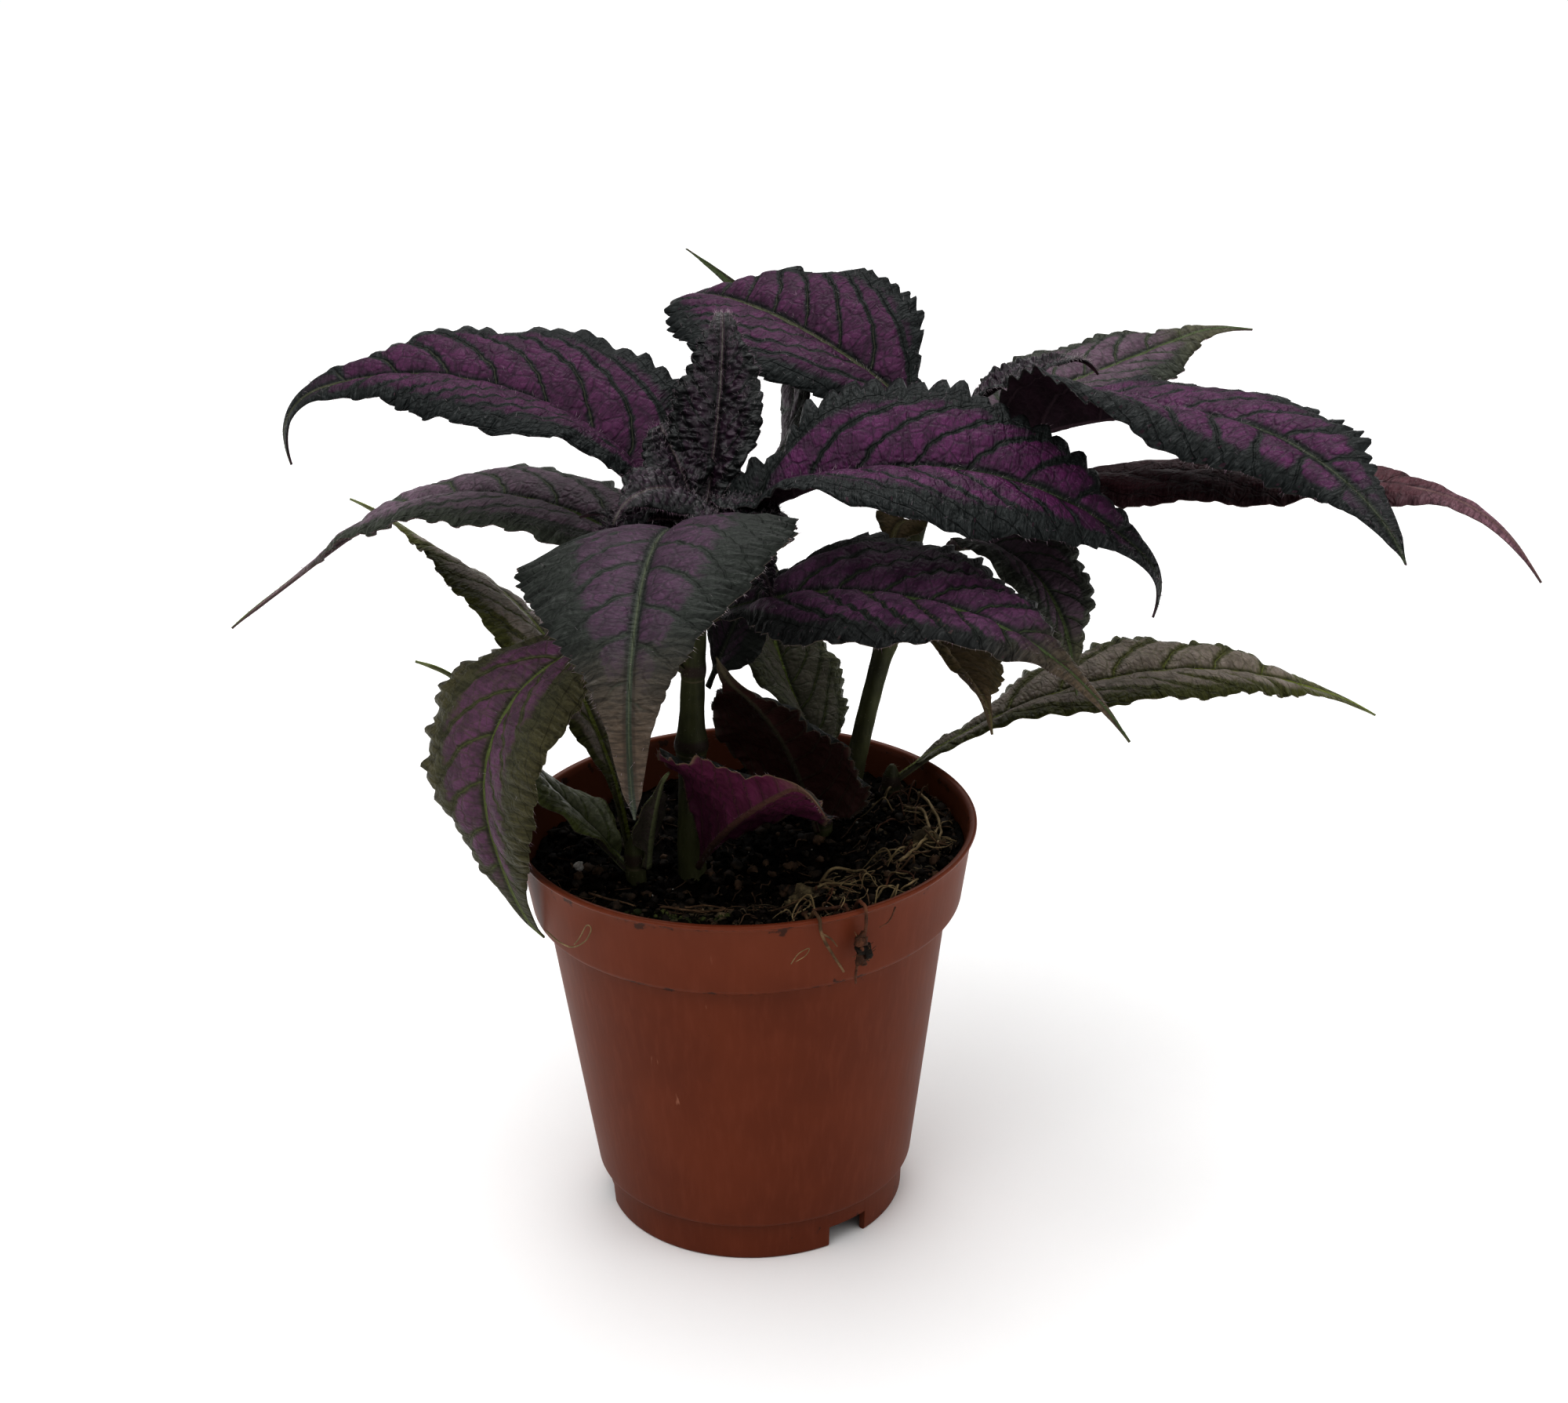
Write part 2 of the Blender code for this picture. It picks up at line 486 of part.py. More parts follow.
clear_scene()
PARTS = collection("persian_shield")
CUTTERS = collection("cutters")
make_pot()
SOIL = make_soil()
stem_finish = {name: material(name + "_green", (0.07, 0.10, 0.03), 0.6) for name in STEMS}
for stem_name, stem_path in STEMS.items():
    tube(stem_name, stem_path, STEM_SIDES, PARTS, stem_finish[stem_name])
OLD_GREEN = {"leaf_right_low", "leaf_left_low", "leaf_left_long", "leaf_olive_back", "leaf_over_rim"}
MAROON = {"leaf_maroon_back", "leaf_magenta_back", "leaf_under_front"}
for leaf_name in LEAVES:
    colour = PLANT_GREEN if leaf_name in OLD_GREEN else PLANT_MAROON if leaf_name in MAROON else PLANT_PURPLE
    make_leaf(leaf_name, material(leaf_name + "_skin", colour, 0.5))
make_roots(SOIL)
gather()
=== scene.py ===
# %% [markdown]
# # A persian shield plant in a plastic nursery pot
# The plant is a young bush with two tall shoots and three short ones. Its long leaves are quilted,
# toothed and coloured in violet between dark green veins. The simple solids of the part stay in
# place as the frame, and every piece below is a finer one that is grown over its own solid.
# Lengths are in millimetres from the pot's own axis, because a gardener measures a pot that way,
# and one helper turns them into metres in the shared frame.

# %% Load the frame
import math
import random
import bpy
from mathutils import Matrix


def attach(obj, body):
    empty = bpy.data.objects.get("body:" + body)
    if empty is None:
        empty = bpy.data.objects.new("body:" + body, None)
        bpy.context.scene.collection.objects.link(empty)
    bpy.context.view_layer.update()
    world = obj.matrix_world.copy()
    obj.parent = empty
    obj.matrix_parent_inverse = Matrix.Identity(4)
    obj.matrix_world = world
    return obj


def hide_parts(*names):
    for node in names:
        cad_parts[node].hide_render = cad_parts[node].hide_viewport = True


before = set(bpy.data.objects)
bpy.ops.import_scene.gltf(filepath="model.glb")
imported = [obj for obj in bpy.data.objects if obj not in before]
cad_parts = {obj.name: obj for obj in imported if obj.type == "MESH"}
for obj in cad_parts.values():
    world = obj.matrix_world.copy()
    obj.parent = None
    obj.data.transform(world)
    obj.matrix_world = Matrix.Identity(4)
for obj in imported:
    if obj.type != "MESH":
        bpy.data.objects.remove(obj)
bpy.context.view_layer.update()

from types import SimpleNamespace

import bmesh
import bpy
import numpy as np
from mathutils import Matrix, Vector, noise

MM = 0.001
POT_AXIS = np.array([-30.3, -8.0, 0.0])
print("frame nodes:", len(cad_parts))

# %% [markdown]
# ## The camera
# The picture was taken from a little above the crown, looking down at the pot. A real camera is
# described by where it stands, how far it tilts down, and its lens, so those are the values here.
# The lens is long for the frame, which keeps the pot's sides nearly parallel.

# %% Camera
CAMERA_AT = np.array([0.0, -690.0, 440.0])
TILT_DOWN, TURN_RIGHT, LEAN = math.radians(23.4), math.radians(0.9), math.radians(-1.4)
LENS_MM, SENSOR_MM = 67.75, 36.0


def aim_camera():
    ahead = Vector((math.cos(TILT_DOWN) * math.sin(TURN_RIGHT), math.cos(TILT_DOWN) * math.cos(TURN_RIGHT),
                    -math.sin(TILT_DOWN)))
    level = Vector((math.cos(TURN_RIGHT), -math.sin(TURN_RIGHT), 0))
    upright = level.cross(ahead)
    right = level * math.cos(LEAN) + upright * math.sin(LEAN)
    top = upright * math.cos(LEAN) - level * math.sin(LEAN)
    lens = bpy.data.cameras.new("camera")
    lens.lens, lens.sensor_width, lens.clip_start = LENS_MM, SENSOR_MM, 0.01
    camera = bpy.data.objects.new("camera", lens)
    bpy.context.scene.collection.objects.link(camera)
    camera.matrix_world = Matrix.Translation(Vector((CAMERA_AT + POT_AXIS) * MM)) @ Matrix(
        (right, top, -ahead)).transposed().to_4x4()
    bpy.context.scene.camera = camera


aim_camera()
bpy.context.scene.view_settings.view_transform = "Standard"
bpy.context.scene.view_settings.gamma = 0.76
print("camera to pot, mm:", round(float(np.linalg.norm(CAMERA_AT))))

# %% [markdown]
# ## Light and floor
# A plant with dark satin leaves needs broad soft light, or the sheen turns into hard spots. One
# large panel hangs above and in front, weaker ones fill from the right and from behind, and the world
# gives light from all round, most of it from overhead. The floor is plain and isn't part of the plant.

# %% Soft panels and a pale floor
def soft_panel(name, place_mm, size_mm, power):
    light = bpy.data.lights.new(name, "AREA")
    light.shape, light.size, light.energy = "DISK", size_mm * MM, power
    panel = bpy.data.objects.new(name, light)
    bpy.context.scene.collection.objects.link(panel)
    panel.location = Vector(place_mm) * MM
    panel.rotation_euler = (Vector((0, 0, 130)) * MM - panel.location).to_track_quat("-Z", "Y").to_euler()


def lay_floor():
    shape = bmesh.new()
    bmesh.ops.create_grid(shape, x_segments=1, y_segments=1, size=14.0)
    data = bpy.data.meshes.new("floor")
    shape.to_mesh(data)
    shape.free()
    floor = bpy.data.objects.new("floor", data)
    bpy.context.scene.collection.objects.link(floor)
    finish = bpy.data.materials.new("pale_floor")
    finish.use_nodes = True
    surface = finish.node_tree.nodes["Principled BSDF"]
    surface.inputs["Base Color"].default_value = (0.86, 0.86, 0.86, 1)
    surface.inputs["Roughness"].default_value = 0.9
    data.materials.append(finish)


def light_dome(low, high):
    """A sky that is brightest overhead, so the floor is bright and the shaded parts stay deep."""
    world = bpy.data.worlds.new("room")
    bpy.context.scene.world = world
    world.use_nodes = True
    tree = world.node_tree
    split = tree.nodes.new("ShaderNodeSeparateXYZ")
    tree.links.new(tree.nodes.new("ShaderNodeTexCoord").outputs["Generated"], split.inputs[0])
    rise, lift = tree.nodes.new("ShaderNodeMath"), tree.nodes.new("ShaderNodeMath")
    rise.operation, lift.operation = "POWER", "MULTIPLY_ADD"
    rise.use_clamp = True
    tree.links.new(split.outputs["Z"], rise.inputs[0])
    rise.inputs[1].default_value = 2.0
    tree.links.new(rise.outputs[0], lift.inputs[0])
    lift.inputs[1].default_value, lift.inputs[2].default_value = high, low
    tree.nodes["Background"].inputs["Color"].default_value = (1, 1, 1, 1)
    tree.links.new(lift.outputs[0], tree.nodes["Background"].inputs["Strength"])


soft_panel("panel_above", (-450, -600, 1300), 1100, 7)
soft_panel("panel_right", (1100, -500, 700), 900, 2.5)
soft_panel("panel_back", (100, 900, 1100), 900, 4)
light_dome(0.30, 1.7)
lay_floor()
print("panels of light:", len(bpy.data.lights))

# %% [markdown]
# ## Node helpers for finishes
# Every finish here is a small recipe of noise, lines and smooth steps. Wiring nodes by hand would
# hide the recipe, so a value of a recipe can be added, multiplied and so on like a number, and each
# such sum becomes a math node.

# %% Recipe helpers
class Value:
    """One value of a finish, as it leaves a node."""

    def __init__(self, socket):
        self.socket = socket

    def math(self, operation, *others):
        inputs = dict(enumerate((self, *others)))
        return add_node(self.socket.id_data, "Math", 0, inputs, operation=operation)

    def __add__(self, other):
        return self.math("ADD", other)

    def __sub__(self, other):
        return self.math("SUBTRACT", other)

    def __rsub__(self, other):
        return add_node(self.socket.id_data, "Math", 0, {0: other, 1: self}, operation="SUBTRACT")

    def __mul__(self, other):
        return self.math("MULTIPLY", other)


def feed(socket, value):
    """Links a value of the finish into a socket, or sets a plain number or colour there."""
    if isinstance(value, Value):
        socket.id_data.links.new(value.socket, socket)
    elif isinstance(value, tuple) and socket.type == "RGBA":
        socket.default_value = (*value, 1)
    else:
        socket.default_value = value


def add_node(tree, kind, output, inputs, **settings):
    """Adds a node, sets it up, feeds its inputs, and gives back one of its outputs."""
    node = tree.nodes.new("ShaderNode" + kind)
    for title, setting in settings.items():
        setattr(node, title, setting)
    for title, value in inputs.items():
        feed(node.inputs[title], value)
    return Value(node.outputs[output])


# %% [markdown]
# With these a finish gets its usual tools. A smooth step is a soft threshold, a blend mixes two
# colours, speckle and cells are the two patterns, and the rest read a place on the piece, set up the
# material or raise its skin.

# %% Steps, blends and patterns
def smooth_step(value, low, high):
    """Rises from 0 at low to 1 at high; low may also be the larger one."""
    inputs = {"Value": value, "From Min": low, "From Max": high}
    return add_node(value.socket.id_data, "MapRange", "Result", inputs, interpolation_type="SMOOTHSTEP")


def blend(amount, first, second):
    """The first colour where the amount is 0, and the second one where it is 1."""
    tree = next(item for item in (amount, first, second) if isinstance(item, Value)).socket.id_data
    return add_node(tree, "Mix", 2, {0: amount, 6: first, 7: second}, data_type="RGBA")


def speckle(where, scale, detail=3.0, rough=0.55):
    inputs = {"Vector": where, "Scale": scale, "Detail": detail, "Roughness": rough}
    return add_node(where.socket.id_data, "TexNoise", "Fac", inputs)


def cells(where, scale):
    """Distance to the nearest wall of a honeycomb of uneven cells."""
    inputs = {"Vector": where, "Scale": scale}
    return add_node(where.socket.id_data, "TexVoronoi", "Distance", inputs, feature="DISTANCE_TO_EDGE")


def stretched(where, scale, turn=(0, 0, 0)):
    inputs = {"Vector": where, "Scale": scale, "Rotation": turn}
    return add_node(where.socket.id_data, "Mapping", "Vector", inputs)


def axis(where, letter):
    return add_node(where.socket.id_data, "SeparateXYZ", letter, {0: where})


def new_finish(name, roughness, gloss):
    finish = bpy.data.materials.new(name)
    finish.use_nodes = True
    surface = finish.node_tree.nodes["Principled BSDF"]
    surface.inputs["Roughness"].default_value = roughness
    surface.inputs["Specular IOR Level"].default_value = gloss
    return finish, surface


def object_place(surface):
    return add_node(surface.id_data, "TexCoord", "Object", {})


def raise_by(surface, height, strength, depth_mm):
    inputs = {"Strength": strength, "Distance": depth_mm * MM, "Height": height}
    feed(surface.inputs["Normal"], add_node(surface.id_data, "Bump", "Normal", inputs))


# %% [markdown]
# ## Bodies from rings
# Pots, stems and roots are all rings of points joined one after another, which is how a turner or a
# basket maker thinks of them. Every body goes into the scene in the same way: its millimetres become
# metres in the shared frame, it rides on the root, and it takes the place of its plain solid.

# %% A body into the scene
def add_piece(name, data, finishes, node):
    piece = bpy.data.objects.new(name, data)
    bpy.context.scene.collection.objects.link(piece)
    for finish in finishes:
        data.materials.append(finish)
    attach(piece, "root")
    if node:
        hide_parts(node)


def mesh_of(name, points_mm, faces, kinds=None):
    """A smooth mesh in metres from points measured from the pot's axis."""
    data = bpy.data.meshes.new(name)
    data.from_pydata(((np.asarray(points_mm, float) + POT_AXIS) * MM).tolist(), [], faces)
    data.polygons.foreach_set("use_smooth", [True] * len(data.polygons))
    if kinds is not None:
        data.polygons.foreach_set("material_index", kinds)
    return data


# %% [markdown]
# A stem or a root is a soft curve through a few points, with a ring round each step of it. Blender's
# bevelled curves do nearly the same, but here single points of a ring can also swell or shrink.

# %% Rings and paths
def ring_faces(rows, columns, loop=False):
    """Faces between rings of points; open ends get a cap, a loop runs back into its first ring."""
    index = np.arange(rows * columns).reshape(rows, columns)
    if loop:
        index = np.vstack([index, index[:1]])
    after = np.roll(index, -1, 1)
    faces = np.stack([index[:-1], after[:-1], after[1:], index[1:]], -1).reshape(-1, 4).tolist()
    return faces if loop else faces + [index[0, ::-1].tolist(), index[-1].tolist()]


def smooth_path(points, step):
    """A soft curve through (x, y, z, radius) points, with a ring every step millimetres."""
    points = np.array(points, float)
    ends = np.vstack([2 * points[0] - points[1], points, 2 * points[-1] - points[-2]])
    found = []
    for a, b, c, d in zip(ends, ends[1:], ends[2:], ends[3:]):
        count = max(1, math.ceil(np.linalg.norm((c - b)[:3]) / step))
        s = (np.arange(count) / count)[:, None]
        bend = (2 * a - 5 * b + 4 * c - d) * s ** 2 + (3 * b - a - 3 * c + d) * s ** 3
        found.append(0.5 * (2 * b + (c - a) * s + bend))
    return np.vstack(found + [points[-1:]])


def sweep(path, sides, swell):
    """Rings round a path; swell(angle, row) scales the radius of single points."""
    ahead = np.gradient(path[:, :3], axis=0)
    ahead /= np.linalg.norm(ahead, axis=1)[:, None] + 1e-9
    across = np.zeros_like(ahead)
    across[0] = np.cross(ahead[0], (0, 0, 1) if abs(ahead[0][2]) < 0.9 else (1, 0, 0))
    for row in range(len(path)):
        flat = across[max(row - 1, 0)]
        flat = flat - ahead[row] * (flat @ ahead[row])
        across[row] = flat / np.linalg.norm(flat)
    turn = np.linspace(0, 2 * np.pi, sides, endpoint=False)
    other = np.cross(ahead, across)
    out = across[:, None] * np.cos(turn)[None, :, None] + other[:, None] * np.sin(turn)[None, :, None]
    size = path[:, 3][:, None] * swell(turn[None], path)
    return path[:, None, :3] + out * size[..., None], out


# %% [markdown]
# Many small bodies, such as crumbs or hair roots, go into the scene as one piece. Each brings its own
# finish along, and its faces are numbered on from those of the bodies before it.

# %% Many bodies as one piece
def add_parts(name, parts, finishes, node):
    """Several (points, faces, finish) bodies as one piece."""
    points, faces, kinds = [], [], []
    start = 0
    for body, skin, finish in parts:
        points.append(np.asarray(body).reshape(-1, 3))
        faces += [[corner + start for corner in face] for face in skin]
        kinds += [finishes.index(finish)] * len(skin)
        start += len(points[-1])
    add_piece(name, mesh_of(name, np.vstack(points), faces, kinds), finishes, node)
    print(name, "triangles:", sum(len(face) - 2 for face in faces))


def at_angle(degrees, out):
    """The place at this angle round the pot and this far from its axis."""
    return out * math.cos(math.radians(degrees)), out * math.sin(math.radians(degrees))


# %% [markdown]
# ## The pot
# A nursery pot is moulded in one shot of soft plastic: a thin wall, a taller collar under a rolled
# lip, and a foot ring with gaps that let water out. It is a turned form, so its outline is spun
# round the axis. The outline's corners are rounded first, because a moulded edge always catches a
# line of light. The gaps are made by lifting the foot between two close pairs of columns.

# %% Outline of the pot
POT_OUTSIDE = [
    (58.8, 108.5), (59.6, 108.5), (60.0, 108.1), (60.0, 107.5), (58.9, 106.8), (55.9, 88.3), (55.2, 87.3),
    (53.0, 87.0), (52.3, 86.2), (42.2, 12.2), (41.8, 11.4), (40.1, 11.0), (39.4, 0.5), (39.0, 0.0),
]
POT_INSIDE = [
    (37.6, 0.0), (38.1, 9.6), (37.4, 10.4), (0.6, 10.4), (0.6, 11.8), (39.9, 11.8), (40.9, 12.7),
    (50.9, 86.6), (51.4, 87.8), (54.0, 88.5), (54.6, 89.4), (57.5, 106.9), (58.1, 108.2),
]
NOTCH_ANGLES, NOTCH_WIDTH, NOTCH_HEIGHT = (-53.0, 67.0, 187.0), 12.0, 6.0
DRAIN_ANGLES, DRAIN_RADIUS, DRAIN_CIRCLE = (36.0, 108.0, 180.0, 252.0, 324.0), 4.0, 27.0


def rounded(outline, radius, step):
    """Cuts each corner with a small curve, and divides the long runs between corners."""
    corners = np.array(outline)
    found = []
    for before, here, after in zip(np.roll(corners, 1, 0), corners, np.roll(corners, -1, 0)):
        back, on = before - here, after - here
        a = here + back * min(0.42, radius / np.linalg.norm(back))
        b = here + on * min(0.42, radius / np.linalg.norm(on))
        found += [a, (a + b + 2 * here) / 4, b]
        rest = here + on - on * min(0.42, radius / np.linalg.norm(on))
        count = int(np.linalg.norm(rest - b) / step)
        found += [b + (rest - b) * k / (count + 1) for k in range(1, count + 1)]
    return np.array(found)


POT_LINE = rounded(POT_OUTSIDE + POT_INSIDE, 0.45, 3.0)
print("points on the pot's outline:", len(POT_LINE))

# %% [markdown]
# Now the outline is turned. A column of points stands at every degree and a half, with a close pair at
# each side of a notch, where the foot is lifted. A Boolean cut would leave long thin faces there, and
# those catch the light badly.

# %% Turn the pot
FOOT_RADIUS = 39.3


def notch_columns():
    """Angles of the columns, with a close pair at each side of a notch, and which lie in a notch."""
    half = math.degrees(NOTCH_WIDTH / 2 / FOOT_RADIUS)

    def off_notches(angle):
        return [abs((angle - notch + 180) % 360 - 180) - half for notch in NOTCH_ANGLES]

    turns = [a for a in (k * 1.5 for k in range(240)) if min(map(abs, off_notches(a))) > 0.4]
    for notch in NOTCH_ANGLES:
        turns += [(notch + side * half + off) % 360 for side in (-1, 1) for off in (-0.04, 0.04)]
    turns = np.array(sorted(turns))
    return np.radians(turns), np.array([min(off_notches(a)) < 0 for a in turns])


def turn_pot():
    turns, open_here = notch_columns()
    radius = np.repeat(POT_LINE[:, :1], len(turns), 1)
    height = np.repeat(POT_LINE[:, 1:], len(turns), 1)
    low = (height < NOTCH_HEIGHT) & open_here[None]
    middle, outside, inside = 38.55, 39.75, 37.9
    radius = np.where(low, np.where(radius > middle, outside, inside), radius)
    height = np.where(low, NOTCH_HEIGHT, height)

    # Thin plastic is never quite round above its foot.
    wall = np.clip((height - 14) / 20, 0, 1) * np.clip(radius - 40, 0, 1)
    radius = radius * (1 + 0.0012 * wall * np.cos(2 * turns - 0.6))
    points = np.stack([radius * np.cos(turns), radius * np.sin(turns), height], -1)
    data = mesh_of("pot_fine", points.reshape(-1, 3), ring_faces(*radius.shape, loop=True))
    shape = bmesh.new()
    shape.from_mesh(data)
    bmesh.ops.remove_doubles(shape, verts=shape.verts, dist=0.002 * MM)
    bmesh.ops.recalc_face_normals(shape, faces=shape.faces)
    shape.to_mesh(data)
    shape.free()
    return data


# %% [markdown]
# The drain holes lie out of sight in the floor of the pot, so for them a Boolean cut is good enough.
# Edges that turn sharply are marked after it, since smooth shading would smear over them.

# %% Holes and sharp edges
def drill(data, places, radius, low, high):
    """Cuts round holes straight down through a body and gives back the cut mesh."""
    body = bpy.data.objects.new("body", data)
    tool = bmesh.new()
    for x, y in places:
        middle = Vector((x + POT_AXIS[0], y + POT_AXIS[1], (low + high) / 2)) * MM
        bmesh.ops.create_cone(tool, cap_ends=True, segments=40, radius1=radius * MM, radius2=radius * MM,
                              depth=(high - low) * MM, matrix=Matrix.Translation(middle))
    cutter_data = bpy.data.meshes.new("cutter")
    tool.to_mesh(cutter_data)
    tool.free()
    cutter = bpy.data.objects.new("cutter", cutter_data)
    for item in (body, cutter):
        bpy.context.scene.collection.objects.link(item)
    cut = body.modifiers.new("cut", "BOOLEAN")
    cut.operation, cut.solver, cut.object = "DIFFERENCE", "EXACT", cutter
    bpy.context.view_layer.update()
    done = bpy.data.meshes.new_from_object(body.evaluated_get(bpy.context.evaluated_depsgraph_get()))
    for item in (body, cutter):
        bpy.data.objects.remove(item)
    return done


def sharpen(data, degrees):
    """Marks the edges that turn by more than so many degrees, so that smooth shading stops there."""
    shape = bmesh.new()
    shape.from_mesh(data)
    for edge in shape.edges:
        edge.smooth = len(edge.link_faces) == 2 and edge.calc_face_angle(0) < math.radians(degrees)
    shape.to_mesh(data)
    shape.free()


# %% [markdown]
# The plastic is a brick red that is a little uneven, with a satin skin. Rising streaks come from the
# flow in the mould, short pale scratches from stacking, and dark specks of soil cling under the lip,
# along the step of the collar and near the foot. The finish measures the angle round the pot's own
# axis, so streaks run straight up the taper.

# %% Plastic finish
def plastic_finish():
    finish, surface = new_finish("terracotta_plastic_fine", 0.42, 0.16)
    tree = finish.node_tree
    where = object_place(surface)
    axis_at = (POT_AXIS[0] * MM, POT_AXIS[1] * MM, 0)
    centred = add_node(tree, "VectorMath", 0, {0: where, 1: axis_at}, operation="SUBTRACT")
    height = axis(centred, "Z") * 1000.0
    angle = axis(centred, "Y").math("ARCTAN2", axis(centred, "X"))
    around = {"X": angle.math("COSINE"), "Y": angle.math("SINE"), "Z": height * 0.004}
    streak = speckle(add_node(tree, "CombineXYZ", "Vector", around), 26, 3, 0.6)
    cloud = speckle(where, 38, 3, 0.55)
    grain = speckle(where, 900, 2, 0.6)
    colour = blend(smooth_step(cloud, 0.30, 0.70), (0.130, 0.0295, 0.0100), (0.155, 0.037, 0.0130))
    colour = blend(smooth_step(streak, 0.42, 0.75) * 0.45, colour, (0.180, 0.047, 0.021))
    # Toward the lip the red is painted lighter, as painted light on the collar.
    colour = blend(smooth_step(height, 84.0, 108.0) * 0.35, colour, (0.190, 0.053, 0.025))
    fine = speckle(stretched(where, (1.0, 1.0, 0.22), (0.3, 0.5, 0.2)), 420, 2, 0.5)
    rare = smooth_step(speckle(where, 55, 2, 0.5), 0.55, 0.66)
    scratch = smooth_step(fine, 0.72, 0.78) * rare
    colour = blend(scratch * 0.55, colour, (0.36, 0.17, 0.11))
    dirt = speckle(where, 260, 4, 0.65)
    at_lip = smooth_step(height, 103.0, 106.8) * smooth_step(height, 108.6, 107.0)
    at_step = smooth_step(height, 84.0, 86.6) * smooth_step(height, 89.6, 87.2)
    at_foot = smooth_step(height, 13.5, 10.0)
    near = at_lip * 0.165 + at_step * 0.20 + at_foot * 0.07
    specks = smooth_step(dirt + near, 0.70, 0.78)
    feed(surface.inputs["Base Color"], blend(specks * 0.8, colour, (0.030, 0.014, 0.009)))
    polish = smooth_step(height, 105.5, 108.0) * -0.16
    feed(surface.inputs["Roughness"], cloud * 0.16 + 0.36 + polish)
    raise_by(surface, streak * 0.8 + grain * 0.10 - scratch * 0.25, 0.35, 0.12)
    return finish


def build_pot():
    places = [at_angle(angle, DRAIN_CIRCLE) for angle in DRAIN_ANGLES]
    data = drill(turn_pot(), places, DRAIN_RADIUS, 8, 14)
    data.name = "pot_fine"
    sharpen(data, 38)
    add_piece("pot_fine", data, [plastic_finish()], "pot")
    print("pot faces:", len(data.polygons))


build_pot()

# %% [markdown]
# ## The soil
# Peat in a nursery pot is loose and crumbly, heaped where the pot was filled, and never flat. The top
# is a fine polar grid over the same heaps as the plain solid, roughened with clods and two grits.
# Loose crumbs, bark, fibres and a little moss are then strewn over it by chance. They are small
# bodies sunk a little into the grid, since a bump in the finish would vanish at this distance.

# %% Heaps of the soil
SOIL_TOP, SOIL_HEAP, SOIL_HEAP_AT, SOIL_LUMP = 95.5, 8.5, -50.0, 1.4
SOIL_WALL = [(39.4, 12.2), (40.4, 12.9), (50.4, 86.4), (51.0, 88.4), (53.9, 89.2)]
SOIL_SEED = Vector((3.1, 7.7, 1.3))
WALL_RADIUS, WALL_FOOT, WALL_FLARE, WALL_RISE, WALL_GAP = 54.6, 89.4, 2.9, 17.5, 0.35

# Every draw by chance and the sway of every thread comes from these two, the same in each run.
chance = random.Random(11)
noise.seed_set(11)


def ease(value):
    value = np.clip(value, 0, 1)
    return value * value * (3 - 2 * value)


def heap_height(x, y):
    facing = 0.5 + 0.5 * math.cos(math.atan2(y, x) - math.radians(SOIL_HEAP_AT))
    heap = SOIL_HEAP * facing ** 0.7 * float(ease((math.hypot(x, y) - 20) / 28))
    coarse = noise.noise(Vector((x, y, 0)) * 0.07 + SOIL_SEED)
    fine = noise.noise(Vector((x, y, 0)) * 0.23 + SOIL_SEED)
    return SOIL_TOP + heap + SOIL_LUMP * (1.2 * coarse + 0.8 * fine)


def soil_height(x, y):
    """The plain heap with clods on it: cells for clods, noise for the crumb between them."""
    near = noise.voronoi(Vector((x, y, 0.3)) * 0.21)[0]
    clod = 1.1 * min(1.0, (near[1] - near[0]) * 1.5) - 0.6
    grit = noise.noise(Vector((x, y, 4.1)) * 0.62)
    return heap_height(x, y) + clod * 0.8 + 0.9 * grit + 0.6 * noise.noise(Vector((x, y, 9.0)) * 1.3)


def soil_reach(turn):
    """How far the soil goes in this direction before it meets the flared wall of the pot."""
    height = heap_height(55 * math.cos(turn), 55 * math.sin(turn))
    return WALL_RADIUS + WALL_FLARE * (height - WALL_FOOT) / WALL_RISE - WALL_GAP


def soil_grid(rings, columns):
    turns = [2 * math.pi * k / columns for k in range(columns)]
    rows = []
    for ring in range(1, rings + 1):
        share = (ring / rings) ** 0.85
        row = []
        for turn in turns:
            radius = soil_reach(turn) * share
            x, y = radius * math.cos(turn), radius * math.sin(turn)
            row.append((x, y, soil_height(x, y)))
        rows.append(row)
    for radius, height in reversed(SOIL_WALL):
        rows.append([(radius * math.cos(a), radius * math.sin(a), height) for a in turns])
    return np.array(rows)


print("soil in the middle, mm:", round(soil_height(0, 0), 1))

# %% [markdown]
# A crumb is a ball whose skin is pushed in and out by noise, and which is squashed and turned by
# chance. A few crumbs copied many times would be lighter, but the eye soon finds the copies.

# %% Crumbs
def ball(level):
    shape = bmesh.new()
    bmesh.ops.create_icosphere(shape, subdivisions=level, radius=1.0)
    points = np.array([vertex.co[:] for vertex in shape.verts])
    faces = [[vertex.index for vertex in face.verts] for face in shape.faces]
    shape.free()
    return points, faces


BALLS = {level: ball(level) for level in (1, 2, 3)}


def anywhere(reach):
    """A random shift, so that no two bodies read the same part of the noise."""
    return Vector((chance.random(), chance.random(), chance.random())) * reach


def pebble(x, y, z, radius, squash=0.8, rough=0.5, level=2):
    """A ball knocked out of shape: uneven axes, a random turn and a lumpy skin."""
    points, faces = BALLS[level]
    shift = anywhere(50)
    coarse = np.array([noise.noise(Vector(p) * 1.3 + shift) for p in points])
    fine = np.array([noise.noise(Vector(p) * 3.1 + shift) for p in points])
    skin = 1 + rough * coarse + rough * 0.5 * fine
    axes = np.array([chance.uniform(0.7, 1.3), chance.uniform(0.7, 1.3), squash])
    spin = Matrix.Rotation(chance.uniform(0, 6.28), 3, "Z")
    spin = np.array(spin @ Matrix.Rotation(chance.uniform(-0.5, 0.5), 3, "X"))
    return (points * skin[:, None] * axes * radius) @ spin.T + (x, y, z), faces


# %% [markdown]
# Roots and fibres are threads. A thread follows a soft curve through a few points, wanders off it a
# little and thins to its end, and its skin is knobbly. A straight cylinder would look like wire.

